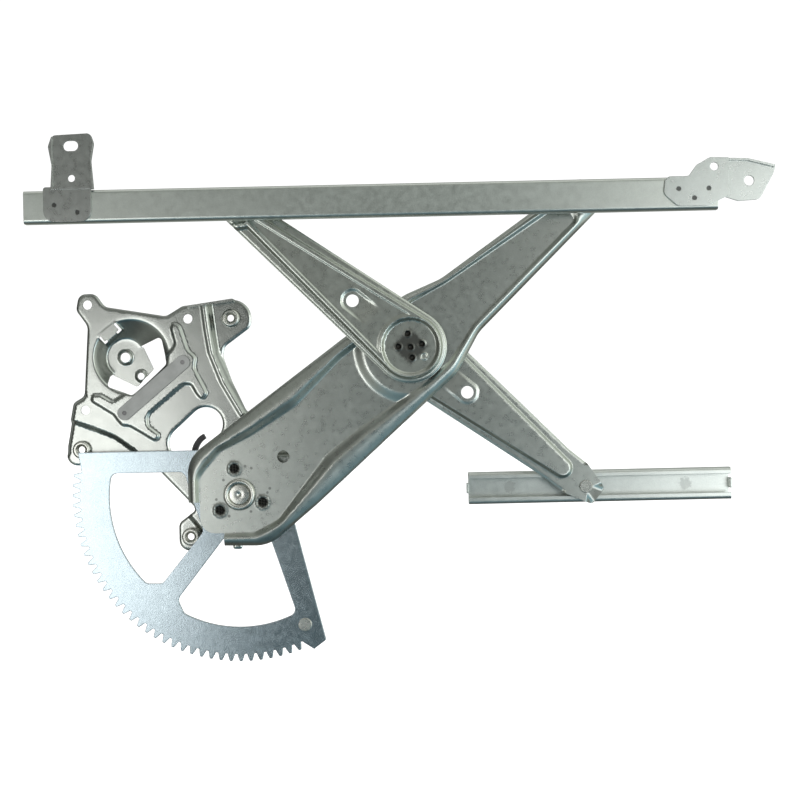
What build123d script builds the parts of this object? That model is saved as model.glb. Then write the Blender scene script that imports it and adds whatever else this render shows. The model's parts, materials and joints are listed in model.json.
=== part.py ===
from build123d import *
import math
import os

# Window regulator with crossed arms, in millimetres.
# The door lies in the XZ plane, +Z is up, the window glass is on the -Y side.
# The origin is the centre of the pinion bearing in the base plate.
# Heights called h are measured from the base plate's front face towards the glass.

os.makedirs("parts", exist_ok=True)

# Linkage
half_arm = 168.0
rest_angle = 39.6
door_angle_limit = 57.0

# Toothed sector and the place of its pinion
gear_module = 2.35
full_circle_teeth = 104
sector_teeth = 35
pinion_teeth = 11
pressure_angle = 20.0
first_tooth_angle = 172.3
pinion_bearing_angle = 129.5
pitch_radius = gear_module * full_circle_teeth / 2
tip_radius = pitch_radius + gear_module
root_radius = pitch_radius - 1.25 * gear_module
gear_centres = gear_module * (full_circle_teeth + pinion_teeth) / 2
tooth_pitch = 360 / full_circle_teeth

# Sheet thicknesses
base_sheet = 1.8
sector_sheet = 2.5
arm_sheet = 2.0
channel_sheet = 1.4
bracket_sheet = 1.8

# Clearances
running = 0.05
seat = 0.02
face_gap = 0.3

# Base plate levels
pinion_recess = 12.0
foot_drop = 6.0
pad_bead = 1.4
pad_thickness = 2.3
sector_back = pad_bead + pad_thickness + face_gap
sector_front = sector_back + sector_sheet

# Main arm levels
arm_back = sector_front
arm_front = arm_back + arm_sheet
rim_height = 5.0
rim_top = arm_front + rim_height
rim_slope = 3.6
cross_boss_height = 3.0
cross_boss_radius = 39.5
cross_boss_top = arm_front + cross_boss_height
cross_boss_back = arm_back + cross_boss_height

# Balance arm levels
upper_back = rim_top + 0.5
upper_front = upper_back + arm_sheet
plateau_height = 3.0
lower_plateau_top = arm_back - 0.5
lower_front = lower_plateau_top - plateau_height - 0.5
lower_back = lower_front - arm_sheet
cap_radius = 27.2
disc_radius = 18.8
washer_thickness = 0.6
lower_cap_top = cross_boss_back - washer_thickness - face_gap

# Sash channel and guide rail
channel_height = 24.0
channel_depth = 11.6
channel_lip = 5.0
channel_corner = 2.6
channel_left = -151.0
channel_right_run = 20.5
channel_right = 2 * half_arm + channel_right_run
channel_back = upper_front + plateau_height + 1.0
channel_front = channel_back + channel_depth
rail_height = channel_height
rail_depth = channel_depth
rail_lip = 5.0
rail_left_run = 11.7
rail_right_run = 32.5
rail_left = 2 * half_arm * math.cos(math.radians(door_angle_limit)) - rail_left_run
rail_length = 2 * half_arm + rail_right_run - rail_left
rail_front = lower_back - 2.5
rail_back = rail_front - rail_depth
rail_stud_spacing = 133.4
rail_stud_length = 14.0
rail_stud_flange = 1.2
rail_stud_flange_radius = 6.0

# Rollers and their studs
roller_radius = channel_height / 2 - channel_sheet - 0.4
roller_thickness = 6.4
roller_inset = 2.1
roller_groove = 1.2
journal_radius = 3.0
stud_neck_radius = 3.5
stud_collar_radius = 5.5
stud_tip_radius = 4.5
stud_tip_thickness = 1.0
stud_head_radius = 6.8
stud_head_thickness = 1.5
rail_stud_head_radius = 4.8

# Main pivot
pin_radius = 8.5
pin_head_radius = 12.0
pin_head_thickness = 2.2
pin_nose_height = 1.8
bush_radius = 10.5
bush_flange_radius = 16.0
arbor_radius = 7.0
washer_radius = 13.0
washer_sheet = 1.5

# Cross pivot
hub_radius = 8.0
hub_flange_radius = 13.0
hub_spigot_radius = 6.0

# Counterbalance spring
spring_strip = 4.0
spring_width = 8.0
spring_pitch = 5.6
spring_outer_radius = 34.8
spring_half_turns = 7
spring_leg = 30.0
spring_outer_hook_radius = 15.7
spring_outer_hook_angle = 60.3
spring_hook_radius = 3.0
spring_tab = 10.0
spring_front = -base_sheet - 2.7

# Fasteners and weld marks
weld_mark_radius = 1.7
weld_mark_depth = 0.5
weld_circle_radius = 9.0
motor_hole_radius = 3.5
nut_bore_radius = 2.6
nut_radius = 6.75
nut_height = 5.0
nut_crest = 1.6
nut_dish_radius = 4.4
stud_thread_radius = 3.0

pivot_x = -gear_centres * math.cos(math.radians(pinion_bearing_angle))
pivot_z = -gear_centres * math.sin(math.radians(pinion_bearing_angle))
arm_cos = math.cos(math.radians(rest_angle))
arm_sin = math.sin(math.radians(rest_angle))
cross_x = half_arm * arm_cos
cross_z = half_arm * arm_sin
sash_z = 2 * cross_z
rail_roller_x = 2 * cross_x


def facing(h, x=0.0, z=0.0):
    """Plane facing the glass at height h, centred x, z from the main pivot."""
    return Plane(origin=(pivot_x + x, -(pinion_recess + h), pivot_z + z), x_dir=(1, 0, 0), z_dir=(0, -1, 0))


def along_arm(h):
    """Plane facing the glass whose x runs from the main pivot along the main arm."""
    middle = facing(h)
    return Plane(origin=middle.origin, x_dir=(arm_cos, 0, arm_sin), z_dir=(0, -1, 0))


def towards_sash(h):
    """Plane facing the glass whose x runs from the cross pivot to the sash roller."""
    middle = facing(h, cross_x, cross_z)
    return Plane(origin=middle.origin, x_dir=(-arm_cos, 0, arm_sin), z_dir=(0, -1, 0))


def towards_rail(h):
    """Plane facing the glass whose x runs from the cross pivot to the rail roller."""
    middle = facing(h, cross_x, cross_z)
    return Plane(origin=middle.origin, x_dir=(arm_cos, 0, -arm_sin), z_dir=(0, -1, 0))


def polar(radius, angle):
    """Point at a radius and an angle in degrees."""
    return (radius * math.cos(math.radians(angle)), radius * math.sin(math.radians(angle)))


def finish(builder, label):
    """Name a finished piece and write it."""
    builder.part.label = label
    export_step(builder.part, f"parts/{label}.step")


# Base plate outline and feet, from the main pivot
foot_points = [(-5.0, 132.0), (-119.0, 35.4), (-38.3, -31.7)]
motor_points = [(-111.9, 144.0), (-36.8, 132.0), (-115.0, 65.1)]
pinion_point = (-pivot_x, -pivot_z)
pad_upper = (-41.0, 99.4)
pad_lower = (-85.2, 62.3)
pad_width = 11.2
bead_width = 9.0
recess_top_point = (-79.7, 104.4)
recess_top_radius = 28.0
recess_floor_radius = 14.5
recess_wall = 0.8
locating_hole = (-74.4, 89.9)
locating_hole_radius = 2.6
pinion_hole_radius = 3.75
collar_wall = 1.5
collar_height = 2.0
fold_rib_height = 1.0
fold_rib_width = 4.6
foot_draft = 25.0
fold_wall = 1.9
foot_notch_point = (-89.5, 27.0)
foot_notch_radius = 6.0
foot_hole_radius = 3.2
recess_back = -pinion_recess - base_sheet
foot_back = -foot_drop - base_sheet

with BuildSketch() as base_outline:
    with BuildLine():
        FilletPolyline(
            (-120.5, 140.1), (-118.2, 152.0), (-106.0, 152.4), (-99.0, 142.3), (-53.1, 134.3), (-40.5, 141.8),
            (-28.1, 142.8), (11.0, 148.0), (10.0, 125.4), (-10.5, 110.6), (-11.6, 103.0), (-5.1, 84.0),
            (5.5, 61.7), (42.0, 42.0), (46.0, 18.0), (24.0, -26.0), (0.5, -27.0), (0.5, -41.5), (-6.5, -41.5),
            (-6.5, -25.5), (-25.0, -24.0), (-29.2, -42.4), (-47.5, -42.4), (-47.5, -21.5), (-33.0, -11.0),
            (-60.0, 18.0), (-70.0, 27.0), (-108.0, 27.0), (-116.0, 23.5), (-131.0, 23.5), (-130.6, 38.0),
            (-127.6, 54.0), (-124.4, 70.8), (-115.4, 76.0), (-114.0, 98.0), (-112.0, 128.0),
            radius=[
                6, 6, 7, 7, 7, 8, 20, 14, 8, 7, 9, 12, 8, 9, 14, 9, 2, 1.5, 1.5, 2, 4, 8, 8, 6, 3, 8, 4, 4, 3, 8,
                8, 12, 5, 7, 14, 9,
            ],
            close=True,
        )
    make_face()

# Plate regions that drop back to the three feet
right_fold = [(-21.8, 140.9), (-19.8, 123.6), (-17.3, 105.4), (-8.6, 84.1), (5.2, 59.8)]
with BuildSketch() as foot_regions:
    with BuildLine():
        Polyline((-21.8, 175.0), *right_fold, (24.0, 28.0), (60.0, 28.0), (60.0, 175.0), close=True)
    make_face()
    with BuildLine():
        Polyline(
            (-160.0, 57.9), (-124.7, 57.9), (-110.4, 52.8), (-93.3, 45.7), (-77.3, 34.3), (-77.3, -5.0),
            (-160.0, -5.0), close=True,
        )
    make_face()
    with Locations(polar(39.0, 219.6)):
        Rectangle(50.0, 60.0, rotation=219.6, align=(Align.MIN, Align.CENTER))

with BuildPart() as foot_cut:
    with BuildSketch(facing(0)):
        add(foot_regions.sketch)
    extrude(amount=-foot_drop, taper=foot_draft)

with BuildPart() as back_hollow:
    with BuildSketch(facing(foot_back)):
        with Locations((-60.0, 60.0)):
            Rectangle(260.0, 300.0)
    extrude(amount=foot_drop)
    with BuildSketch(facing(0)):
        add(foot_regions.sketch)
        offset(amount=fold_wall)
    extrude(amount=foot_back, taper=foot_draft, mode=Mode.SUBTRACT)

# Round plate with its tail that carries the pinion bearing
with BuildSketch() as bearing_plate:
    with Locations(pinion_point):
        Circle(recess_floor_radius)
    with BuildLine():
        Polyline((-72.8, 112.6), (-64.9, 95.1), (-77.8, 81.8), (-96.4, 91.4), close=True)
    make_face()

with BuildSketch() as recess_window:
    with BuildLine():
        FilletPolyline(
            (-76.0, 112.0), (-57.4, 119.4), (-53.4, 98.4), (-79.6, 75.3), (-98.6, 82.4), (-97.4, 90.4),
            (-86.0, 97.0), radius=[2, 3, 3, 3, 3, 2, 2], close=True,
        )
    make_face()

# Recess drawn down to the pinion bearing, off centre, as one wall
with BuildPart() as recess_cup:
    with BuildSketch(facing(0)):
        with Locations(recess_top_point):
            Circle(recess_top_radius + recess_wall)
    extrude(amount=-base_sheet)
    with BuildSketch(facing(-base_sheet)):
        with Locations(recess_top_point):
            Circle(recess_top_radius + recess_wall)
    with BuildSketch(facing(recess_back)):
        with Locations(pinion_point):
            Circle(recess_floor_radius + recess_wall)
    loft()
    with BuildSketch(facing(0)):
        with Locations(recess_top_point):
            Circle(recess_top_radius)
    with BuildSketch(facing(-pinion_recess)):
        with Locations(pinion_point):
            Circle(recess_floor_radius)
    loft(mode=Mode.SUBTRACT)
    # Window round the tail of the bearing plate, which stays flat
    with BuildSketch(facing(recess_back)):
        add(recess_window.sketch)
    extrude(amount=-recess_back, mode=Mode.SUBTRACT)
    with BuildSketch(facing(recess_back)):
        add(bearing_plate.sketch)
    extrude(amount=base_sheet)
    # Flat step that stays at the plate's level, between two bent slots
    with BuildSketch(facing(-base_sheet)):
        with BuildLine():
            Polyline((-91.5, 131.5), (-86.0, 125.0), (-99.0, 113.6), (-105.5, 121.0), close=True)
        make_face()
    extrude(amount=base_sheet)
    with BuildSketch(facing(-base_sheet)):
        with BuildLine():
            Line((-90.2, 121.3), (-96.2, 116.0))
        trace(line_width=base_sheet)
    extrude(amount=-foot_drop)

with BuildPart() as base_plate:
    with BuildSketch(facing(foot_back)):
        add(base_outline.sketch)
    extrude(amount=-foot_back)
    add(foot_cut.part, mode=Mode.SUBTRACT)
    add(back_hollow.part, mode=Mode.SUBTRACT)
    with BuildSketch(facing(-base_sheet)):
        with Locations(recess_top_point):
            Circle(recess_top_radius + recess_wall / 2)
        add(recess_window.sketch)
    extrude(amount=base_sheet, mode=Mode.SUBTRACT)
    add(recess_cup.part)
    with BuildSketch(facing(recess_back)):
        with BuildLine():
            Polyline((-92.0, 129.8), (-87.7, 125.0), (-90.4, 122.6))
        trace(line_width=1.8)
        with BuildLine():
            Polyline((-103.2, 120.0), (-99.8, 115.0), (-97.4, 117.0))
        trace(line_width=1.8)
    extrude(amount=-recess_back, mode=Mode.SUBTRACT)
    # Rib along the fold to the upper foot
    with BuildSketch(facing(-base_sheet)):
        with BuildLine():
            Polyline((-24.6, 141.2), (-22.6, 123.6), (-19.9, 106.4), (-11.4, 84.1), (2.4, 59.8))
        trace(line_width=fold_rib_width)
    extrude(amount=base_sheet + fold_rib_height)
    # Collar of the pinion bearing and of the small locating hole in its tail
    with BuildSketch(facing(-pinion_recess)):
        with Locations(pinion_point):
            Circle(pinion_hole_radius + collar_wall)
        with Locations(locating_hole):
            Circle(locating_hole_radius + collar_wall)
    extrude(amount=collar_height)
    with BuildSketch(facing(recess_back)):
        with Locations(pinion_point):
            Circle(pinion_hole_radius)
        with Locations(locating_hole):
            Circle(locating_hole_radius)
    extrude(amount=base_sheet + collar_height, mode=Mode.SUBTRACT)
    # Pressed bead that carries the slide pad, with four legs
    with BuildSketch(facing(-base_sheet)):
        with BuildLine(mode=Mode.PRIVATE) as bead_lines:
            seat_line = Line(pad_upper, pad_lower)
            leg_lines = [
                Line(pad_upper, (-46.5, 123.0)),
                Line(pad_upper, (-28.5, 77.0)),
                Line(pad_lower, (-103.5, 73.5)),
                Line(pad_lower, (-65.5, 45.5)),
            ]
        trace(seat_line, line_width=pad_width)
        trace(leg_lines, line_width=bead_width)
        for corner in (pad_upper, pad_lower, (-46.5, 123.0), (-28.5, 77.0), (-103.5, 73.5), (-65.5, 45.5)):
            with Locations(corner):
                Circle(pad_width / 2 if corner in (pad_upper, pad_lower) else bead_width / 2)
        add(recess_window.sketch, mode=Mode.SUBTRACT)
        with Locations(recess_top_point):
            Circle(recess_top_radius, mode=Mode.SUBTRACT)
    extrude(amount=base_sheet + pad_bead)
    # Large slanted slot that shows the spring's outer leg
    with BuildSketch(facing(-base_sheet)):
        with Locations((-32.5, 45.9)):
            SlotCenterToCenter(20.7, 25.2, rotation=42.3)
        for x, z in motor_points:
            with Locations((x, z)):
                Circle(motor_hole_radius)
        Circle(bush_radius + seat)
        with Locations(foot_notch_point):
            Circle(foot_notch_radius)
    extrude(amount=base_sheet + pad_bead, mode=Mode.SUBTRACT)
    with BuildSketch(facing(foot_back)):
        with Locations(*foot_points):
            Circle(foot_hole_radius)
    extrude(amount=base_sheet, mode=Mode.SUBTRACT)
    # Stiffening flange along the top edge
    with BuildSketch(facing(foot_back)):
        with BuildLine():
            Polyline((-37.0, 141.7), (-2.0, 146.4), (-2.2, 144.6), (-37.2, 139.9), close=True)
        make_face()
    extrude(amount=-foot_back + 4.0)
    # Tab that holds the spring's outer leg
    with BuildSketch(facing(-base_sheet)):
        with Locations((-spring_outer_radius - spring_strip / 2 - seat, 14.0)):
            Rectangle(base_sheet, 10.0, align=(Align.MAX, Align.MIN))
    extrude(amount=-spring_width - 2.5)
finish(base_plate, "base_plate")

with BuildPart() as base_weld_nuts:
    with BuildSketch(facing(-foot_drop)):
        with Locations(*foot_points):
            Circle(nut_radius)
    extrude(amount=nut_height)
    fillet(base_weld_nuts.faces().group_by(Axis.Y)[0].edges(), radius=nut_crest)
    with Locations(facing(nut_height - foot_drop)):
        with Locations(*foot_points):
            CounterSinkHole(radius=nut_bore_radius, counter_sink_radius=nut_dish_radius, depth=nut_height)
finish(base_weld_nuts, "base_weld_nuts")

# Plastic strip that the sector slides on
pad_length = math.dist(pad_upper, pad_lower)
pad_angle = math.degrees(math.atan2(pad_upper[1] - pad_lower[1], pad_upper[0] - pad_lower[0]))
pad_middle = ((pad_upper[0] + pad_lower[0]) / 2, (pad_upper[1] + pad_lower[1]) / 2)
pad_pin_radius = 1.6
with BuildPart() as slide_pad:
    with BuildSketch(facing(pad_bead)):
        with Locations(pad_middle):
            SlotCenterToCenter(pad_length, pad_width - 0.4, rotation=pad_angle)
    extrude(amount=pad_thickness)
    fillet(slide_pad.faces().sort_by(Axis.Y)[0].edges(), radius=0.6)
    with BuildSketch(facing(pad_bead)):
        with Locations(pad_upper, pad_lower):
            Circle(pad_pin_radius + seat)
    extrude(amount=pad_thickness, mode=Mode.SUBTRACT)
finish(slide_pad, "slide_pad")

with BuildPart() as slide_pad_pins:
    with BuildSketch(facing(pad_bead)):
        with Locations(pad_upper, pad_lower):
            Circle(pad_pin_radius)
    extrude(amount=pad_thickness - 0.5)
finish(slide_pad_pins, "slide_pad_pins")

with BuildPart() as pivot_bush:
    with BuildSketch(facing(-base_sheet)):
        Circle(bush_radius)
    extrude(amount=base_sheet)
    with BuildSketch(facing(0)):
        Circle(bush_flange_radius)
    extrude(amount=sector_back - face_gap)
    chamfer(pivot_bush.faces().sort_by(Axis.Y)[0].edges(), length=0.6)
    with BuildSketch(facing(-base_sheet)):
        Circle(pin_radius + running)
    extrude(amount=base_sheet + sector_back, mode=Mode.SUBTRACT)
finish(pivot_bush, "pivot_bush")

# Flat strip wound from a hook in the arbor out to a straight leg with a bent end
spring_middle = spring_front - spring_width / 2
with BuildPart() as counterbalance_spring:
    with BuildLine(facing(spring_middle)) as spring_path:
        leg_end = (-spring_outer_radius, spring_leg)
        JernArc(leg_end, (0, 1), spring_outer_hook_radius, -spring_outer_hook_angle)
        Line((-spring_outer_radius, 0), leg_end)
        radius = spring_outer_radius
        centre_x = 0.0
        for half_turn in range(spring_half_turns):
            side = 1 if half_turn % 2 == 0 else -1
            CenterArc((centre_x, 0), radius, 180.0 if side == 1 else 0.0, 180.0)
            radius -= spring_pitch / 2
            centre_x += side * spring_pitch / 2
        # The last turn stops early and bends into the slot across the arbor
        bend = math.asin(spring_hook_radius / (radius - spring_hook_radius))
        last_angle = 180.0 - math.degrees(bend)
        last_turn = CenterArc((centre_x, 0), radius, 0.0 if spring_half_turns % 2 else 180.0, last_angle)
        hook = JernArc(last_turn @ 1, last_turn % 1, spring_hook_radius, 270.0 - last_angle)
        Line(hook @ 1, hook @ 1 + (hook % 1) * spring_tab)
    with BuildSketch(Plane(origin=spring_path.line @ 0, x_dir=(0, 1, 0), z_dir=spring_path.line % 0)):
        Rectangle(spring_width, spring_strip)
    sweep()
finish(counterbalance_spring, "counterbalance_spring")


def involute(angle):
    """Involute function of an angle in radians."""
    return math.tan(angle) - angle


def flank_half_angle(radius):
    """Half the angle in degrees that one tooth takes at a radius."""
    base_radius = pitch_radius * math.cos(math.radians(pressure_angle))
    at_pitch = math.pi / (2 * full_circle_teeth) + involute(math.radians(pressure_angle))
    return math.degrees(at_pitch - involute(math.acos(base_radius / radius)))


# Toothed sector, drawn from the main pivot in the stored pose
sector_top = 33.5
sector_rim_radius = 98.0
last_tooth_angle = first_tooth_angle + (sector_teeth - 1) * tooth_pitch
stop_rivet_point = (46.8, -98.2)
stop_rivet_radius = 5.0

with BuildSketch() as sector_outline:
    with BuildLine():
        root_start = first_tooth_angle - tooth_pitch / 2
        corner = (-math.sqrt(tip_radius**2 - sector_top**2), sector_top)
        point = polar(root_radius, root_start)
        Line(corner, point)
        for tooth in range(sector_teeth):
            middle = first_tooth_angle + tooth * tooth_pitch
            sides = []
            for side in (-1, 1):
                radii = (root_radius, pitch_radius, tip_radius)
                sides.append([polar(r, middle + side * flank_half_angle(r)) for r in radii])
            Line(point, sides[0][0])
            ThreePointArc(*sides[0])
            Line(sides[0][2], sides[1][2])
            ThreePointArc(*reversed(sides[1]))
            point = sides[1][0]
        tab_corner = (62.2, -109.9)
        Polyline(
            point, polar(root_radius, last_tooth_angle + tooth_pitch / 2), (53.0, -116.6), tab_corner,
            (34.0, 4.0), (16.0, sector_top), corner,
        )
    make_face()
    fillet(sector_outline.vertices().sort_by_distance((16.0, sector_top))[0], radius=12)
    fillet(sector_outline.vertices().sort_by_distance((34.0, 4.0))[0], radius=20)
    fillet(sector_outline.vertices().sort_by_distance(tab_corner)[0], radius=1.5)

with BuildSketch() as sector_windows:
    with BuildLine():
        left_top = (-95.4, 17.5)
        left_bottom = polar(sector_rim_radius - 1.5, 222.5)
        ThreePointArc(left_top, polar(sector_rim_radius - 0.5, 196.0), left_bottom)
        Polyline(left_bottom, (-59.0, -65.5), (-27.5, -27.0), (-35.0, -4.0), (-41.0, 17.5), left_top)
    make_face()
    with BuildLine():
        right_bottom = (40.5, -89.3)
        right_corner = (-43.5, -88.0)
        ThreePointArc(right_bottom, (-2.0, -99.0), right_corner)
        Polyline(right_corner, (-48.0, -77.5), (-12.0, -32.0), (22.0, -33.0), right_bottom)
    make_face()
    fillet(sector_windows.vertices(), radius=5.5)

with BuildPart() as sector_gear:
    with BuildSketch(facing(sector_back)):
        add(sector_outline.sketch)
        add(sector_windows.sketch, mode=Mode.SUBTRACT)
        Circle(pin_radius + seat, mode=Mode.SUBTRACT)
        with Locations(stop_rivet_point):
            Circle(stop_rivet_radius - 1.0 + seat, mode=Mode.SUBTRACT)
    extrude(amount=sector_sheet)
finish(sector_gear, "sector_gear")

with BuildPart() as sector_stop_rivet:
    with BuildSketch(facing(sector_back)):
        with Locations(stop_rivet_point):
            Circle(stop_rivet_radius - 1.0)
    extrude(amount=sector_sheet)
    with BuildSketch(facing(sector_front)):
        with Locations(stop_rivet_point):
            Circle(stop_rivet_radius)
    extrude(amount=1.2)
    fillet(sector_stop_rivet.faces().sort_by(Axis.Y)[0].edges(), radius=0.5)
finish(sector_stop_rivet, "sector_stop_rivet")

# Main arm, drawn along its own axis
arm_tip = 2 * half_arm + 13.0
pan_end = 2 * half_arm - 14.0
arm_hole_point = (43.0, 0.0)
arm_hole_radius = 4.6
with BuildSketch() as arm_outline:
    with BuildLine():
        FilletPolyline(
            (-11.5, 45.7), (half_arm - 33.0, 37.4), (half_arm + 22.0, 32.0), (half_arm + 50.0, 23.5),
            (arm_tip, 13.0), (arm_tip, -13.6), (half_arm + 46.0, -25.2), (half_arm + 14.0, -37.6),
            (40.0, -43.4), (-8.0, -43.4), (-53.0, -4.7),
            radius=[24, 60, 40, 40, 10, 10, 30, 30, 60, 28, 12],
            close=True,
        )
    make_face()

# Sunken pan, narrow at its waist, that leaves the rims their width
with BuildSketch() as arm_pan:
    with BuildLine():
        FilletPolyline(
            (-14.5, 29.0), (10.0, 33.2), (34.0, 27.2), (75.0, 21.6), (half_arm - 45.0, 26.8),
            (half_arm + 24.0, 23.6), (half_arm + 51.0, 18.2), (pan_end, 6.6), (pan_end, -8.4),
            (half_arm + 48.0, -16.9), (half_arm + 16.0, -26.2), (half_arm - 8.0, -27.0), (100.0, -20.4),
            (68.0, -19.4), (10.0, -32.6), (-10.1, -28.2), (-41.0, -3.0),
            radius=[9, 10, 20, 40, 40, 30, 30, 3, 3, 30, 16, 16, 40, 40, 14, 6, 1],
            close=True,
        )
    make_face()

# The floor is raised from the cross pivot on to the pan's end
with BuildSketch() as raised_floor:
    with Locations((half_arm, 0)):
        Circle(cross_boss_radius)
        Rectangle(half_arm, 2 * cross_boss_radius, align=(Align.MIN, Align.CENTER))

with BuildPart() as arm_underside:
    with BuildSketch(along_arm(arm_back)):
        add(arm_outline.sketch)
        offset(amount=-arm_sheet)
    extrude(amount=rim_top - arm_sheet - arm_back)
    chamfer(arm_underside.faces().sort_by(Axis.Y)[0].edges(), length=rim_slope)
    with BuildSketch(along_arm(arm_back)):
        add(arm_pan.sketch)
        offset(amount=arm_sheet)
    extrude(amount=rim_top, mode=Mode.SUBTRACT)

with BuildPart() as main_arm:
    with BuildSketch(along_arm(arm_back)):
        add(arm_outline.sketch)
    extrude(amount=rim_top - arm_back)
    chamfer(main_arm.faces().sort_by(Axis.Y)[0].edges(), length=rim_slope)
    with BuildSketch(along_arm(arm_front)):
        add(arm_pan.sketch)
        add(raised_floor.sketch, mode=Mode.SUBTRACT)
    extrude(amount=rim_height, mode=Mode.SUBTRACT)
    with BuildSketch(along_arm(cross_boss_top)):
        add(arm_pan.sketch)
    extrude(amount=rim_height, mode=Mode.SUBTRACT)
    add(arm_underside.part, mode=Mode.SUBTRACT)
    # Hollow behind the raised floor
    with BuildSketch(along_arm(arm_back)):
        add(raised_floor.sketch)
        offset(amount=-arm_sheet)
        add(arm_pan.sketch, mode=Mode.INTERSECT)
    extrude(amount=cross_boss_height, mode=Mode.SUBTRACT)
    # The rim stops short of the corner beside the main pivot
    with BuildSketch(facing(arm_back)):
        with Locations((-11.7, -5.3)):
            Rectangle(40, 50, align=(Align.MAX, Align.MAX))
        with BuildLine():
            FilletPolyline(
                (-29.6, 0.0), (-29.6, -28.6), (0.0, -28.6), (0.0, 0.0), radius=[1, 13, 1, 1], close=True,
            )
        make_face(mode=Mode.SUBTRACT)
    extrude(amount=rim_top, mode=Mode.SUBTRACT)
    with BuildSketch(along_arm(arm_back)):
        with Locations((half_arm, 0)):
            Circle(hub_radius + running)
        with Locations((2 * half_arm, 0)):
            Circle(stud_neck_radius + seat)
        with Locations(arm_hole_point):
            Circle(arm_hole_radius)
        Circle(pin_radius + seat)
    extrude(amount=rim_top, mode=Mode.SUBTRACT)
finish(main_arm, "main_arm")

# Stepped pivot pin, slotted behind for the inner end of the spring
arbor_end = spring_front - spring_width - 1.0
with BuildPart() as pivot_pin:
    with BuildSketch(facing(-base_sheet - face_gap)):
        Circle(pin_radius)
    extrude(amount=arm_front + base_sheet + face_gap)
    with BuildSketch(facing(arm_front)):
        Circle(pin_head_radius)
    extrude(amount=pin_head_thickness)
    chamfer(pivot_pin.faces().sort_by(Axis.Y)[0].edges(), length=0.6)
    with BuildSketch(facing(arm_front + pin_head_thickness)):
        Circle(pin_radius)
    extrude(amount=pin_nose_height)
    fillet(pivot_pin.faces().sort_by(Axis.Y)[0].edges(), radius=0.8)
    with Locations(facing(arm_front + pin_head_thickness + pin_nose_height)):
        CounterSinkHole(radius=1.2, counter_sink_radius=2.6, depth=5.0)
    with BuildSketch(facing(arbor_end)):
        Circle(arbor_radius)
    extrude(amount=-base_sheet - face_gap - arbor_end)
    with BuildSketch(facing(arbor_end)):
        Rectangle(2 * arbor_radius + 2, spring_strip + 2 * running)
    extrude(amount=spring_front + face_gap - arbor_end, mode=Mode.SUBTRACT)
finish(pivot_pin, "pivot_pin")

with BuildPart() as pivot_retainer:
    with BuildSketch(facing(-base_sheet - face_gap)):
        Circle(washer_radius)
        Circle(arbor_radius + seat, mode=Mode.SUBTRACT)
    extrude(amount=-washer_sheet)
finish(pivot_retainer, "pivot_retainer")


def roller_stud(plane_at, pad_front, track_back, centre, head_radius, label):
    """Riveted stud from the arm's pad to its roller, with plane_at giving the plane at a height."""
    roller_back = track_back + roller_inset
    with BuildPart() as stud:
        with BuildSketch(plane_at(pad_front - arm_sheet - stud_head_thickness)):
            with Locations(centre):
                Circle(head_radius)
        extrude(amount=stud_head_thickness)
        with BuildSketch(plane_at(pad_front - arm_sheet)):
            with Locations(centre):
                Circle(stud_neck_radius)
        extrude(amount=arm_sheet)
        with BuildSketch(plane_at(pad_front)):
            with Locations(centre):
                Circle(stud_collar_radius)
        extrude(amount=roller_back - face_gap - pad_front)
        with BuildSketch(plane_at(roller_back - face_gap)):
            with Locations(centre):
                Circle(journal_radius)
        extrude(amount=roller_thickness + 2 * face_gap)
        with BuildSketch(plane_at(roller_back + roller_thickness + face_gap)):
            with Locations(centre):
                Circle(stud_tip_radius)
        extrude(amount=stud_tip_thickness)
        chamfer(stud.faces().sort_by(Axis.Y)[0].edges(), length=0.3)
    finish(stud, label)


def roller(plane_at, track_back, centre, label):
    """Plastic roller with a groove turned in each face."""
    roller_back = track_back + roller_inset
    with BuildPart() as wheel:
        with BuildSketch(plane_at(roller_back)):
            with Locations(centre):
                Circle(roller_radius)
        extrude(amount=roller_thickness)
        fillet(wheel.edges(), radius=0.8)
        for level in (roller_back + roller_thickness, roller_back + roller_groove):
            with BuildSketch(plane_at(level)):
                with Locations(centre):
                    Circle(roller_radius - 2.2)
                    Circle(stud_tip_radius + 0.8, mode=Mode.SUBTRACT)
            extrude(amount=-roller_groove, mode=Mode.SUBTRACT)
        with BuildSketch(plane_at(roller_back)):
            with Locations(centre):
                Circle(journal_radius + running)
        extrude(amount=roller_thickness, mode=Mode.SUBTRACT)
    finish(wheel, label)


def behind_rail(h):
    """Plane facing away from the glass, h measured backwards, centred on the rail roller."""
    middle = facing(-h, rail_roller_x)
    return Plane(origin=middle.origin, x_dir=(-1, 0, 0), z_dir=(0, 1, 0))


roller_stud(along_arm, rim_top, channel_back, (2 * half_arm, 0), stud_head_radius, "main_roller_stud")
roller(along_arm, channel_back, (2 * half_arm, 0), "main_roller")
sash_pad = upper_front + plateau_height
roller_stud(towards_sash, sash_pad, channel_back, (half_arm, 0), stud_head_radius, "sash_roller_stud")
roller(towards_sash, channel_back, (half_arm, 0), "sash_roller")


roller_stud(behind_rail, -lower_back, -rail_front, (0, 0), rail_stud_head_radius, "rail_roller_stud")
roller(behind_rail, -rail_front, (0, 0), "rail_roller")


def pressed_sheet(plane_at, outline, plateau, hollow, back, rise):
    """Sheet with a raised plateau whose sides slope at 45 degrees, hollow behind."""
    with BuildPart() as raised:
        with BuildSketch(plane_at(back)):
            add(plateau)
        extrude(amount=arm_sheet + rise)
        chamfer(raised.faces().sort_by(Axis.Y)[0].edges(), length=rise - 0.4)
        with BuildSketch(plane_at(back)):
            add(outline)
        extrude(amount=arm_sheet + rise, mode=Mode.INTERSECT)
    with BuildPart() as sheet:
        with BuildSketch(plane_at(back)):
            add(outline)
        extrude(amount=arm_sheet)
        add(raised.part)
        with BuildSketch(plane_at(back)):
            add(hollow)
        extrude(amount=rise, mode=Mode.SUBTRACT)
    return sheet.part


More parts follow.
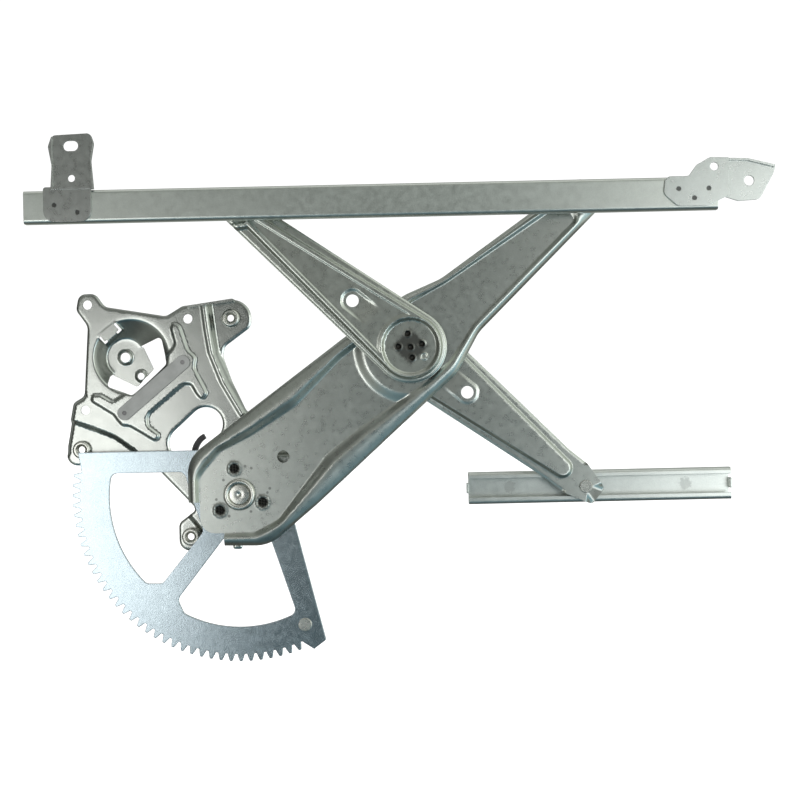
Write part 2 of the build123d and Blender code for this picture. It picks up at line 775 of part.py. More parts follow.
# Upper half of the balance arm, in front of the main arm
balance_hole = (54.5, 0.0)
balance_hole_radius = 4.7
hollow_inset = 3.0
sash_end_radius = 11.2
with BuildSketch() as upper_outline:
    Circle(cap_radius)
    with Locations((half_arm, 0)):
        Circle(sash_end_radius)
    make_hull()

with BuildSketch() as upper_plateau:
    Circle(cap_radius - 2.6)
    with Locations((half_arm - 16, 0)):
        Circle(6.5)
    make_hull()
    with BuildLine():
        Polyline(
            (half_arm - 20, 6.5), (half_arm - 10, 17), (half_arm + 24, 17), (half_arm + 24, -17),
            (half_arm - 10, -17), (half_arm - 20, -6.5), close=True,
        )
    make_face()
    Circle(disc_radius, mode=Mode.SUBTRACT)

with BuildSketch() as upper_hollow:
    add(upper_plateau.sketch)
    Circle(disc_radius)
    offset(amount=-hollow_inset)
    Circle(disc_radius + hollow_inset, mode=Mode.SUBTRACT)

with BuildPart() as balance_arm_upper:
    add(
        pressed_sheet(
            towards_sash, upper_outline.sketch, upper_plateau.sketch, upper_hollow.sketch, upper_back,
            plateau_height,
        )
    )
    with BuildSketch(towards_sash(upper_back)):
        with Locations(balance_hole):
            Circle(balance_hole_radius)
        with Locations((half_arm, 0)):
            Circle(stud_neck_radius + seat)
    extrude(amount=arm_sheet + plateau_height, mode=Mode.SUBTRACT)
    # Marks of the five welds that hold the cross pivot
    with BuildSketch(facing(upper_front, cross_x, cross_z)):
        Circle(weld_mark_radius)
        with PolarLocations(weld_circle_radius, 4, start_angle=8):
            Circle(weld_mark_radius)
    extrude(amount=-weld_mark_depth, mode=Mode.SUBTRACT)
finish(balance_arm_upper, "balance_arm_upper")

# Lower half of the balance arm, behind the main arm
with BuildSketch() as lower_outline:
    Circle(cap_radius)
    with Locations((half_arm - 23, 0)):
        Circle(13.6)
    make_hull()
    with BuildLine():
        FilletPolyline(
            (half_arm - 38, 14.0), (half_arm - 10, 14.0), (half_arm + 12, 7.6), (half_arm + 12, -7.6),
            (half_arm - 10, -14.0), (half_arm - 38, -14.0),
            radius=[1, 6, 3, 3, 6, 1], close=True,
        )
    make_face()

with BuildSketch() as lower_plateau:
    Circle(cap_radius - 2.6)
    with Locations((half_arm - 22.5, 0)):
        Circle(8.0)
    make_hull()

with BuildSketch() as lower_hollow:
    add(lower_plateau.sketch)
    offset(amount=-hollow_inset)

lower_rise = lower_plateau_top - lower_front
with BuildPart() as balance_arm_lower:
    add(
        pressed_sheet(
            towards_rail, lower_outline.sketch, lower_plateau.sketch, lower_hollow.sketch, lower_back,
            lower_rise,
        )
    )
    # Cap that reaches into the hollow of the main arm
    with BuildSketch(towards_rail(lower_plateau_top - arm_sheet)):
        Circle(disc_radius)
    extrude(amount=lower_cap_top - lower_plateau_top + arm_sheet)
    chamfer(balance_arm_lower.faces().sort_by(Axis.Y)[0].edges(), length=1.6)
    with BuildSketch(towards_rail(lower_plateau_top - arm_sheet)):
        Circle(disc_radius - arm_sheet - 1.0)
    extrude(amount=lower_cap_top - lower_plateau_top, mode=Mode.SUBTRACT)
    # Turned-up edges beside the roller stud
    with BuildSketch(towards_rail(lower_back)):
        for side in (-1, 1):
            with BuildLine():
                Polyline(
                    (half_arm - 9.0, side * 13.7), (half_arm + 9.5, side * 8.3), (half_arm + 9.0, side * 6.8),
                    (half_arm - 9.5, side * 12.2), close=True,
                )
            make_face()
    extrude(amount=arm_sheet + 2.4)
    with BuildSketch(towards_rail(lower_back)):
        with Locations(balance_hole):
            Circle(balance_hole_radius)
        with Locations((half_arm, 0)):
            Circle(stud_neck_radius + seat)
        Circle(hub_spigot_radius + seat)
    extrude(amount=lower_cap_top - lower_back, mode=Mode.SUBTRACT)
finish(balance_arm_lower, "balance_arm_lower")

# Stepped hub that joins the two halves through the main arm
hub_flange_back = cross_boss_top + washer_thickness + face_gap
with BuildPart() as cross_pivot_hub:
    with BuildSketch(facing(lower_cap_top, cross_x, cross_z)):
        Circle(hub_radius)
    extrude(amount=upper_back - lower_cap_top)
    with BuildSketch(facing(hub_flange_back, cross_x, cross_z)):
        Circle(hub_flange_radius)
    extrude(amount=upper_back - hub_flange_back)
    with BuildSketch(facing(lower_cap_top - arm_sheet, cross_x, cross_z)):
        Circle(hub_spigot_radius)
    extrude(amount=arm_sheet)
    with BuildSketch(facing(lower_cap_top - arm_sheet - 1.5, cross_x, cross_z)):
        Circle(hub_spigot_radius + 3.0)
    extrude(amount=1.5)
    chamfer(cross_pivot_hub.faces().sort_by(Axis.Y)[-1].edges(), length=0.6)
finish(cross_pivot_hub, "cross_pivot_hub")

with BuildPart() as cross_pivot_washers:
    for level in (lower_cap_top, hub_flange_back - washer_thickness):
        with BuildSketch(facing(level, cross_x, cross_z)):
            Circle(hub_flange_radius)
            Circle(hub_radius + seat, mode=Mode.SUBTRACT)
        extrude(amount=washer_thickness)
finish(cross_pivot_washers, "cross_pivot_washers")


def track(end_plane, length, height, depth, lip):
    """Rolled channel with two lips, drawn with its mouth at local x = 0 and its back at x = depth."""
    with BuildPart() as rolled:
        with BuildSketch(end_plane) as section:
            with Locations((depth / 2, 0)):
                Rectangle(depth, height)
            fillet(section.vertices(), radius=channel_corner)
            with Locations((depth / 2, 0)):
                RectangleRounded(
                    depth - 2 * channel_sheet, height - 2 * channel_sheet, channel_corner - channel_sheet,
                    mode=Mode.SUBTRACT,
                )
            Rectangle(2 * channel_sheet + 1, height - 2 * lip, mode=Mode.SUBTRACT)
        extrude(amount=length)
    return rolled.part


# Sash channel, open towards the arms
channel_end = Plane(
    origin=(pivot_x + channel_right, -(pinion_recess + channel_back), pivot_z + sash_z),
    x_dir=(0, -1, 0), z_dir=(-1, 0, 0),
)
with BuildPart() as sash_channel:
    add(track(channel_end, channel_right - channel_left, channel_height, channel_depth, channel_lip))
finish(sash_channel, "sash_channel")

# Guide rail, open towards the arms, with a bent stop at each end
rail_end = Plane(
    origin=(pivot_x + rail_left, -(pinion_recess + rail_front), pivot_z), x_dir=(0, 1, 0), z_dir=(1, 0, 0),
)
stop_height = 7.6
with BuildPart() as guide_rail:
    add(track(rail_end, rail_length, rail_height, rail_depth, rail_lip))
    for stop_x in (rail_left - channel_sheet, rail_left + rail_length):
        with BuildSketch(facing(rail_back, stop_x)):
            Rectangle(channel_sheet, stop_height, align=(Align.MIN, Align.CENTER))
        extrude(amount=rail_depth - 3.0)
finish(guide_rail, "guide_rail")

with BuildPart() as rail_studs:
    for side in (-1, 1):
        stud_x = rail_left + rail_length / 2 - 1.0 + side * rail_stud_spacing / 2
        with BuildSketch(facing(rail_back, stud_x)):
            Circle(rail_stud_flange_radius)
        extrude(amount=-rail_stud_flange)
        with BuildSketch(facing(rail_back - rail_stud_flange, stud_x)):
            Circle(stud_thread_radius)
        extrude(amount=-rail_stud_length)
    chamfer(rail_studs.faces().group_by(Axis.Y)[-1].edges(), length=0.6)
finish(rail_studs, "rail_studs")

# Glass brackets welded to the sash channel, placed from its top edge
bracket_front = channel_front + bracket_sheet
channel_top = sash_z + channel_height / 2
left_bracket_x = channel_left + 36.0
left_level = channel_front - 2.2
left_edge_rise = 2.4
bracket_slot_length = 10.9
bracket_slot_height = 7.5


def on_left_bracket(h):
    """Plane facing the glass at height h, on the channel's top edge at the left bracket."""
    return facing(h, left_bracket_x, channel_top)


with BuildPart() as left_glass_bracket:
    with BuildSketch(on_left_bracket(channel_front)):
        with BuildLine():
            FilletPolyline(
                (-21.0, 2.2), (14.0, 2.2), (14.0, -23.2), (-21.0, -23.2), radius=[2, 2, 8, 8], close=True,
            )
        make_face()
    extrude(amount=bracket_sheet)
    with BuildSketch(on_left_bracket(left_level)):
        with Locations((0, 0.4)):
            Rectangle(30.5, bracket_sheet, align=(Align.CENTER, Align.MIN))
    extrude(amount=bracket_front - left_level)
    with BuildSketch(on_left_bracket(left_level)):
        with BuildLine():
            FilletPolyline(
                (-15.5, 0.4), (-14.3, 17.8), (-16.7, 31.8), (-13.6, 40.3), (14.0, 41.4), (16.5, 33.8),
                (14.2, 20.8), (15.8, 0.4), radius=[0.5, 8, 4, 3, 4, 6, 8, 0.5], close=True,
            )
        make_face()
    extrude(amount=bracket_sheet + left_edge_rise)
    with BuildSketch(on_left_bracket(left_level + bracket_sheet)):
        with Locations((-0.1, 2.2)):
            Rectangle(27.6, 50.0, align=(Align.CENTER, Align.MIN))
    extrude(amount=left_edge_rise, mode=Mode.SUBTRACT)
    with BuildSketch(on_left_bracket(left_level)):
        with Locations((-0.5, 32.3)):
            SlotOverall(bracket_slot_length, bracket_slot_height)
        with Locations((-0.5, 8.6)):
            Circle(2.6)
    extrude(amount=bracket_sheet, mode=Mode.SUBTRACT)
    with BuildSketch(on_left_bracket(bracket_front)):
        with Locations((-13.2, -11.0), (3.7, -16.5)):
            Circle(weld_mark_radius)
    extrude(amount=-weld_mark_depth, mode=Mode.SUBTRACT)
finish(left_glass_bracket, "left_glass_bracket")

right_level = channel_front - 5.0
right_edge_rise = 2.6


def on_right_bracket(h):
    """Plane facing the glass at height h, on the channel's top edge at its right end."""
    return facing(h, channel_right, channel_top)


with BuildPart() as right_glass_bracket:
    with BuildSketch(on_right_bracket(channel_front)):
        with BuildLine():
            FilletPolyline(
                (-38.0, 0.3), (-40.0, -12.2), (-29.5, -21.6), (-7.5, -21.6), (7.9, -14.2), (7.9, 13.3),
                (-5.5, 13.8), (-15.5, 8.3), (-21.5, 0.3),
                radius=[4, 6, 5, 6, 1, 1, 4, 3, 3], close=True,
            )
        make_face()
    extrude(amount=bracket_sheet)
    with BuildSketch(on_right_bracket(right_level)):
        with BuildLine():
            Polyline((6.1, 13.3), (7.9, 13.3), (7.9, -14.2), (6.1, -15.0), close=True)
        make_face()
    extrude(amount=bracket_front - right_level)
    with BuildSketch(on_right_bracket(right_level)):
        with BuildLine():
            FilletPolyline(
                (6.1, 13.3), (22.5, 12.8), (43.5, 7.4), (41.1, 0.8), (31.0, -17.2), (15.5, -18.2),
                (6.1, -15.0), radius=[0.5, 10, 2, 4, 5, 4, 0.5], close=True,
            )
        make_face()
    extrude(amount=bracket_sheet)
    with BuildSketch(on_right_bracket(right_level)):
        with BuildLine():
            Polyline(
                (7.9, 13.2), (22.5, 12.7), (42.5, 7.6), (42.1, 6.0), (22.3, 11.1), (7.9, 11.6), close=True,
            )
        make_face()
    extrude(amount=bracket_sheet + right_edge_rise)
    with BuildSketch(on_right_bracket(right_level)):
        with Locations((-2.7, 6.9)):
            Circle(3.0)
        with Locations((23.6, -3.3)):
            Circle(3.7)
    extrude(amount=bracket_front - right_level, mode=Mode.SUBTRACT)
    with BuildSketch(on_right_bracket(bracket_front)):
        with Locations((-29.0, -8.9), (-17.6, -15.8), (-7.0, -9.0)):
            Circle(weld_mark_radius)
    extrude(amount=-weld_mark_depth, mode=Mode.SUBTRACT)
finish(right_glass_bracket, "right_glass_bracket")
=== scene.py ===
# %% [markdown]
# # A crossed-arm window regulator in zinc-plated steel
# The real object is a set of pressed steel sheets, riveted and welded together.
# Its solids were made to measure beforehand, so this lesson starts from them and
# works on what the eye sees: the grain of the zinc, the marks of the welds, the
# soft edges of the pressings, and the light.

# %% Load the measured solids
import json
import bpy
import numpy as np
from mathutils import Matrix, Vector
from mathutils.geometry import delaunay_2d_cdt


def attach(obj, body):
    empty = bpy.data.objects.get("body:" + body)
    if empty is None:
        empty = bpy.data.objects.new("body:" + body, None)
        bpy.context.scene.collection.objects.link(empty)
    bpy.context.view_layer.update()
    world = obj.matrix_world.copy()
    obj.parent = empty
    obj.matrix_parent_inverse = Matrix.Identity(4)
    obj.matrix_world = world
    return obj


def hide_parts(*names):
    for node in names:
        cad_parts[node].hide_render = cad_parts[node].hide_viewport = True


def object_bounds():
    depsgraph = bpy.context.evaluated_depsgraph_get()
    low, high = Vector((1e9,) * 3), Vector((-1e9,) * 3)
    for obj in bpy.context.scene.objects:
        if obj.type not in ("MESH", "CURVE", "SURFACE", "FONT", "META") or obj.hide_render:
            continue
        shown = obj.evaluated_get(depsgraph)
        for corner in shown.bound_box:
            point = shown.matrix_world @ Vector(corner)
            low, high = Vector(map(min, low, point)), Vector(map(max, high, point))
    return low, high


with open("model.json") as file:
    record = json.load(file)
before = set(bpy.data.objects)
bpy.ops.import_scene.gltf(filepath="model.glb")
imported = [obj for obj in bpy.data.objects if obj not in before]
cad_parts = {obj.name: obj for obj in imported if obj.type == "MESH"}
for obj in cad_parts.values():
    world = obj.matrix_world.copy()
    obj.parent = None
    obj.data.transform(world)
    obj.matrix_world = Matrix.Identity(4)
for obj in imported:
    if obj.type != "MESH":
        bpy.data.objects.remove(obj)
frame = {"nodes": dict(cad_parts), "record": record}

solid_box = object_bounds()
solids = frame["nodes"]
print("solids", len(solids), "box", [round(v, 3) for v in (*solid_box[0], *solid_box[1])])

# %% [markdown]
# ## Places that the photograph gives
# The main pivot is the landmark that every other place is measured from. One
# helper turns millimetres from that pivot, with the height in front of the base
# plate's face, into metres of the shared frame.

# %% Main pivot and the place helper
PIVOT = np.array([85.951, -12.0, -104.265])


def place(x, z, height):
    """Point in metres: right and up from the main pivot, height towards the glass, all in millimetres."""
    return (PIVOT + np.array([x, -height, z])) / 1000.0


print("main pivot", place(0, 0, 0))

# %% [markdown]
# ## Camera
# The photograph looks straight at the glass side of the part from about 1.2
# metres. The part leans by a little over one degree, so the camera rolls by as
# much the other way. A 72 mm lens then takes in 600 mm across the picture.

# %% Camera at the photograph's angle
LEAN = np.radians(1.25)
camera_data = bpy.data.cameras.new("camera")
camera_data.lens = 72.0
camera_data.sensor_width = 36.0
camera = bpy.data.objects.new("camera", camera_data)
bpy.context.scene.collection.objects.link(camera)
right = Vector((np.cos(LEAN), 0.0, -np.sin(LEAN)))
above = Vector((np.sin(LEAN), 0.0, np.cos(LEAN)))
behind = Vector((0.0, -1.0, 0.0))
facing = Matrix((right, above, behind)).transposed().to_4x4()
camera.matrix_world = Matrix.Translation(place(121.05, 67.65, 1200.0)) @ facing
camera_data.clip_start, camera_data.clip_end = 0.05, 50.0
bpy.context.scene.camera = camera
print("camera at", [round(v, 3) for v in camera.location])

# %% [markdown]
# ## Helpers for nodes
# The room and every finish are trees of nodes. Setting them up by hand repeats
# the same three steps: add a node, set its options, fill its inputs. One helper
# does all three, and takes a number and another node's output alike.

# %% Add a node and fill its inputs
def feed(tree, socket, value):
    """Fill an input with a plain value, or link it to another node's output."""
    if isinstance(value, bpy.types.NodeSocket):
        tree.links.new(value, socket)
    else:
        socket.default_value = value


def fill(tree, node, **named):
    """Fill inputs of a node by name, with an underscore for each space."""
    for key, value in named.items():
        feed(tree, node.inputs[key.replace("_", " ")], value)


def add_node(tree, kind, settings=None, feeds=(), **named):
    """Node with its settings, its first inputs in order (None leaves one out) and others by name."""
    node = tree.nodes.new(kind)
    for key, value in (settings or {}).items():
        setattr(node, key, value)
    for socket, value in zip(node.inputs, feeds):
        if value is not None:
            feed(tree, socket, value)
    fill(tree, node, **named)
    return node


def calculate(tree, operation, *values):
    """Output of a Math node for one operation."""
    return add_node(tree, "ShaderNodeMath", {"operation": operation}, values).outputs[0]


def mix_colour(tree, blend, amount, under, over):
    """Output of a Mix node for two colours."""
    node = add_node(tree, "ShaderNodeMix", {"data_type": "RGBA", "blend_type": blend}, (amount,))
    feed(tree, node.inputs[6], under)
    feed(tree, node.inputs[7], over)
    return node.outputs[2]


print("node helpers ready")

# %% [markdown]
# ## Studio
# A catalogue photograph puts such a part in front of white, with one large
# light low on the left, which the sector and the base plate mirror, and a
# weaker one on the right. The floor is pale and stays out of reflections.

# %% Floor
scene = bpy.context.scene
scene.view_settings.view_transform = "Standard"
FLOOR = solid_box[0].z - 0.25

floor_mesh = bpy.data.meshes.new("floor")
floor_mesh.from_pydata(
    [(-30, -30, FLOOR), (30, -30, FLOOR), (30, 30, FLOOR), (-30, 30, FLOOR)], [], [(0, 1, 2, 3)]
)
floor = bpy.data.objects.new("floor", floor_mesh)
scene.collection.objects.link(floor)
floor.visible_glossy = False
floor_paint = bpy.data.materials.new("floor_paint")
floor_paint.use_nodes = True
fill(
    floor_paint.node_tree, floor_paint.node_tree.nodes["Principled BSDF"], Base_Color=(0.95, 0.95, 0.95, 1),
    Roughness=0.9, Emission_Color=(1, 1, 1, 1), Emission_Strength=0.35,
)
floor.data.materials.append(floor_paint)
print("floor", round(FLOOR, 3))

# %% [markdown]
# The rest of what the steel mirrors is a dim room, which is why its face reads
# as a middle grey. The room is lighter on some sides and bluer towards the
# floor. Only glossy rays see it, so the background itself stays plain white.

# %% Room and lights
world = bpy.data.worlds.new("room")
scene.world = world
world.use_nodes = True
sky = world.node_tree
sky.nodes.clear()
sky_way = add_node(sky, "ShaderNodeTexCoord").outputs["Generated"]


def lobe(direction, start, end, gain):
    """Extra light from one side of the room: it grows as the ray turns towards the direction."""
    towards = (sky_way, Vector(direction).normalized())
    turn = add_node(sky, "ShaderNodeVectorMath", {"operation": "DOT_PRODUCT"}, towards)
    span = (turn.outputs["Value"], start, end, 0.0, gain)
    return add_node(sky, "ShaderNodeMapRange", {"interpolation_type": "SMOOTHSTEP"}, span).outputs["Result"]


ROOM_LIGHT = 0.115
ROOM_SIDES = [
    ((0.95, -0.25, 0.25), 0.30, 0.95, 0.95),
    ((-0.95, 0.1, 0.25), 0.45, 0.85, -0.06),
    ((-0.50, -0.72, -0.48), 0.80, 0.98, 0.26),
    ((-0.45, -0.75, 0.50), 0.78, 0.97, 0.16),
    ((-0.35, 0.85, 0.35), 0.25, 0.90, 0.28),
]
room = ROOM_LIGHT
for side in ROOM_SIDES:
    room = calculate(sky, "ADD", room, lobe(*side))
low_side = lobe((0.25, -0.70, -0.65), 0.66, 0.85, 1.0)
tint = mix_colour(sky, "MIX", low_side, (0.93, 1.0, 0.93, 1), (0.58, 0.98, 1.15, 1))
seen = add_node(sky, "ShaderNodeBackground", None, ((1, 1, 1, 1), 1.1))
mirrored = add_node(sky, "ShaderNodeBackground", None, (tint, room))
is_glossy = add_node(sky, "ShaderNodeLightPath").outputs["Is Glossy Ray"]
sky_mix = add_node(sky, "ShaderNodeMixShader", None, (is_glossy, seen.outputs[0], mirrored.outputs[0]))
add_node(sky, "ShaderNodeOutputWorld", None, (sky_mix.outputs[0],))


def softbox(name, at, towards, width, height, power):
    """Rectangular light at a point, facing another point."""
    lamp = bpy.data.lights.new(name, "AREA")
    lamp.shape = "RECTANGLE"
    lamp.size, lamp.size_y = width, height
    lamp.energy = power
    body = bpy.data.objects.new(name, lamp)
    body.location = at
    body.rotation_euler = (Vector(towards) - Vector(at)).to_track_quat("-Z", "Y").to_euler()
    scene.collection.objects.link(body)


softbox("low_left_light", (-0.35, -1.25, -0.20), (0.0, 0, -0.12), 0.46, 0.52, 1.9)
softbox("right_light", (0.97, -1.25, -0.12), (0.45, 0, 0), 0.7, 0.9, 3.9)
softbox("top_light", (0.2, -0.4, 1.5), (0.2, 0, 0), 1.8, 1.2, 4)

# %% [markdown]
# ## Outlines of the pressed sheets
# A die cuts every sheet with rounded corners. So an outline is written down as
# its corners and their radii, and a helper turns it into a closed loop of
# points. A second helper measures how far a point lies inside such a loop,
# which is what all the pressed shapes below are worked out from.

# %% Rounded outlines and the depth inside them
STRAY = 0.15


def even_steps(loop, step):
    """Closed loop resampled: its length is cut into equal parts of about one step."""
    closed = np.vstack([loop, loop[:1]])
    run = np.concatenate([[0.0], np.cumsum(np.hypot(*np.diff(closed, axis=0).T))])
    at = np.linspace(0.0, run[-1], int(np.ceil(run[-1] / step)), endpoint=False)
    return np.column_stack([np.interp(at, run, closed[:, 0]), np.interp(at, run, closed[:, 1])])


def rounded_loop(corners, radii, step=1.2):
    """Closed outline whose corners are arcs.

    An arc touches both sides of its corner at the radius divided by the tangent of half the corner's
    angle. Between the two touching points it turns evenly about its centre on the corner's bisector.
    """
    corners = np.asarray(corners, float)
    radii = np.broadcast_to(np.asarray(radii, float), len(corners))[:, None]
    before = np.roll(corners, 1, axis=0) - corners
    after = np.roll(corners, -1, axis=0) - corners
    before /= np.linalg.norm(before, axis=1, keepdims=True)
    after /= np.linalg.norm(after, axis=1, keepdims=True)
    half = np.arccos(np.clip((before * after).sum(1, keepdims=True), -1, 1)) / 2
    bisector = (before + after) / np.linalg.norm(before + after, axis=1, keepdims=True)
    centre = corners + bisector * radii / np.sin(half)
    start = corners + before * radii / np.tan(half) - centre
    end = corners + after * radii / np.tan(half) - centre
    turn = (np.pi - 2 * half)[:, None]
    share = np.linspace(0, 1, 13)[None, :, None]
    arcs = start[:, None] * np.sin((1 - share) * turn) + end[:, None] * np.sin(share * turn)
    return even_steps((arcs / np.sin(turn) + centre[:, None]).reshape(-1, 2), step)


def ring(centre, radius, step=0.8):
    """Circle as a closed loop."""
    angle = np.linspace(0, 2 * np.pi, max(24, int(2 * np.pi * radius / step)), endpoint=False)
    return np.column_stack([centre[0] + radius * np.cos(angle), centre[1] + radius * np.sin(angle)])


def rings(holes):
    """Circles of round holes, each given as (centre, radius)."""
    return [ring(centre, radius) for centre, radius in holes]


def outside(points, holes):
    """True for each point that lies outside every one of the round holes."""
    return np.all([np.hypot(*(points - centre).T) > radius for centre, radius in holes], axis=0)


def tapered_loop(first_radius, second_radius, length, step=1.2):
    """Outline round two circles on the x axis: both arcs end where a common tangent touches them."""
    touch = np.arccos((first_radius - second_radius) / length)
    far = np.linspace(-touch, touch, 60)
    near = np.linspace(touch, 2 * np.pi - touch, 90)
    points = np.vstack(
        [
            np.column_stack([length + second_radius * np.cos(far), second_radius * np.sin(far)]),
            np.column_stack([first_radius * np.cos(near), first_radius * np.sin(near)]),
        ]
    )
    return even_steps(points, step)


def depth_in(points, loop):
    """Distance to the nearest edge of a closed loop, positive inside and negative outside.

    A point is inside when a line from it crosses the loop an odd number of times.
    """
    start, end = loop, np.roll(loop, -1, axis=0)
    side = end - start
    depth = np.empty(len(points))
    for rows in np.array_split(np.arange(len(points)), len(points) * len(loop) // 2_000_000 + 1):
        gap = points[rows][:, None] - start
        along = np.clip((gap * side).sum(2) / (side**2).sum(1), 0, 1)
        apart = np.sqrt(((gap - along[..., None] * side) ** 2).sum(2).min(1))
        level = points[rows][:, None, 1]
        passed = (start[:, 1] > level) != (end[:, 1] > level)
        slope = side[:, 0] / np.where(side[:, 1] == 0, 1, side[:, 1])
        crossed = passed & (gap[..., 0] < gap[..., 1] * slope)
        depth[rows] = np.where(crossed.sum(1) % 2 == 1, apart, -apart)
    return depth


def ease(share):
    """Smooth step from 0 to 1: three squares less two cubes of the clipped share."""
    share = np.clip(share, 0, 1)
    return share * share * (3 - 2 * share)


def hump(distance, width):
    """Bell curve of a distance, 1 at nought: e to minus the square of the distance in widths."""
    return np.exp(-((distance / width) ** 2))


def beside(loop, offsets):
    """Points beside a closed loop: each of its points moved along the inward normal by every offset.

    A moved point that has come nearer to another part of the loop is left out.
    """
    ahead = np.roll(loop, -1, axis=0) - np.roll(loop, 1, axis=0)
    normal = np.column_stack([-ahead[:, 1], ahead[:, 0]]) / np.hypot(*ahead.T)[:, None]
    after = np.roll(loop, -1, axis=0)
    round_left = np.sign(np.sum(loop[:, 0] * after[:, 1] - after[:, 0] * loop[:, 1]))
    moved = (loop + round_left * normal * np.asarray(offsets)[:, None, None]).reshape(-1, 2)
    return moved[np.abs(depth_in(moved, loop) - np.repeat(offsets, len(loop))) < STRAY]


print("depth at the middle of a 10 mm circle", depth_in(np.array([[5.0, 5.0]]), ring((5, 5), 5))[0].round(2))

# %% [markdown]
# ## Pressed sheet as two skins
# A pressing is one sheet of even thickness. It could be a thin box that is
# sculpted, but a press doesn't work like that: the tool gives every point of
# the sheet its height. So a triangular grid fills the outline, one function
# gives the height of all its points at once, the second skin is the same
# surface one thickness behind, and a wall joins the two along each cut edge.
# Where a bend is tight, rows of points run beside it, so that it comes out
# clean instead of following the grid's zigzag.

# %% From outlines and a height to a sheet
NEAR, EDGE_CLEAR, SAME_POINT, ROW_HEIGHT = 0.15, 0.4, 1e-4, 0.866


def triangular_grid(low, high, step):
    """Points between two corners in rows, every other row moved sideways by half a step."""
    x, z = np.meshgrid(np.arange(low[0], high[0], step), np.arange(low[1], high[1], step * ROW_HEIGHT))
    x = x + (np.arange(len(x)) % 2)[:, None] * step / 2
    return np.column_stack([x.ravel(), z.ravel()])


def pressed_sheet(
    name, loops, solid_at, height_at, thickness, to_frame, step=1.4, fine=(), bands=(), even=False
):
    """Pressed sheet from its loops, a test for where there is metal, and a height for each point.

    The front skin is a triangular grid whose edges keep to the loops. The back skin lies one thickness
    behind it. An edge that only one triangle uses is a cut edge, and carries a wall between the skins.
    For even shading the normals of both skins come from the height itself: minus its two slopes, and 1.
    """
    grid = triangular_grid(loops[0].min(0), loops[0].max(0), step)
    for centre, radius, close in fine:
        away = np.hypot(*(grid - centre).T)
        patch = triangular_grid((-radius, -radius), (radius, radius), close)
        patch = patch[np.hypot(*patch.T) < radius] + centre
        grid = np.vstack([grid[away > radius + step / 2], patch])
    for loop, offsets in bands:
        depth = depth_in(grid, loop)
        grid = grid[(depth < min(offsets) - step / 2) | (depth > max(offsets) + step / 2)]
        grid = np.vstack([grid, beside(loop, offsets)])
    clear = np.min([np.abs(depth_in(grid, loop)) for loop in loops], axis=0)
    grid = grid[(clear > EDGE_CLEAR) & solid_at(grid)]
    first = np.cumsum([0] + [len(loop) for loop in loops])
    edges = np.vstack(
        [
            np.column_stack([np.arange(len(loop)), np.roll(np.arange(len(loop)), -1)]) + start
            for loop, start in zip(loops, first)
        ]
    )
    flat = np.vstack([*loops, grid])
    joined = delaunay_2d_cdt([Vector(p) for p in flat.tolist()], edges.tolist(), [], 0, SAME_POINT)
    flat, triangles = np.array([p[:] for p in joined[0]]), np.array(joined[2])
    triangles = triangles[solid_at(flat[triangles].mean(1))]
    used, triangles = np.unique(triangles, return_inverse=True)
    flat, triangles = flat[used], triangles.reshape(-1, 3)
    a, b, c = (flat[triangles[:, k]] for k in range(3))
    turn = (b[:, 0] - a[:, 0]) * (c[:, 1] - a[:, 1]) - (b[:, 1] - a[:, 1]) * (c[:, 0] - a[:, 0])
    triangles = np.where(turn[:, None] > 0, triangles, triangles[:, ::-1])
    count = len(flat)
    ways = np.vstack([triangles[:, [0, 1]], triangles[:, [1, 2]], triangles[:, [2, 0]]])
    lone = ~np.isin(ways[:, 0] * count + ways[:, 1], ways[:, 1] * count + ways[:, 0])
    cut = ways[lone]
    walls = np.column_stack([cut[:, 1], cut[:, 0], cut[:, 0] + count, cut[:, 1] + count])
    height = height_at(flat)
    points = np.vstack([to_frame(flat, height), to_frame(flat, height - thickness)])
    mesh = bpy.data.meshes.new(name)
    mesh.from_pydata(points, [], triangles.tolist() + (triangles[:, ::-1] + count).tolist() + walls.tolist())
    mesh.polygons.foreach_set("use_smooth", np.ones(len(mesh.polygons), bool))
    ends = np.empty(len(mesh.edges) * 2, np.int64)
    mesh.edges.foreach_get("vertices", ends)
    ends = np.sort(ends.reshape(-1, 2), axis=1)
    brims = np.sort(np.vstack([cut, cut + count]), axis=1)
    sharp = np.isin(ends[:, 0] * 2 * count + ends[:, 1], brims[:, 0] * 2 * count + brims[:, 1])
    mesh.attributes.new("sharp_edge", "BOOLEAN", "EDGE").data.foreach_set("value", sharp)
    mesh.update()
    if even:
        slopes = [(height_at(flat + move) - height) / NEAR for move in ((NEAR, 0.0), (0.0, NEAR))]
        normals = to_frame(flat - np.column_stack(slopes), height + 1.0) - to_frame(flat, height)
        normals /= np.linalg.norm(normals, axis=1, keepdims=True)
        front, back = normals[triangles.ravel()], -normals[triangles[:, ::-1].ravel()]
        unset = np.zeros((walls.size, 3))
        mesh.normals_split_custom_set(np.vstack([front, back, unset]).tolist())
    piece = bpy.data.objects.new(name, mesh)
    bpy.context.scene.collection.objects.link(piece)
    print(name, "points", len(mesh.vertices), "faces", len(mesh.polygons))
    return piece


def turned_frame(origin, along, across):
    """Function that takes points of a turned drawing, and heights, to metres in the shared frame."""
    def to_frame(points, height):
        x = origin[0] + points[:, 0] * along[0] + points[:, 1] * across[0]
        z = origin[1] + points[:, 0] * along[1] + points[:, 1] * across[1]
        return (PIVOT + np.column_stack([x, -height, z])) / 1000.0
    return to_frame


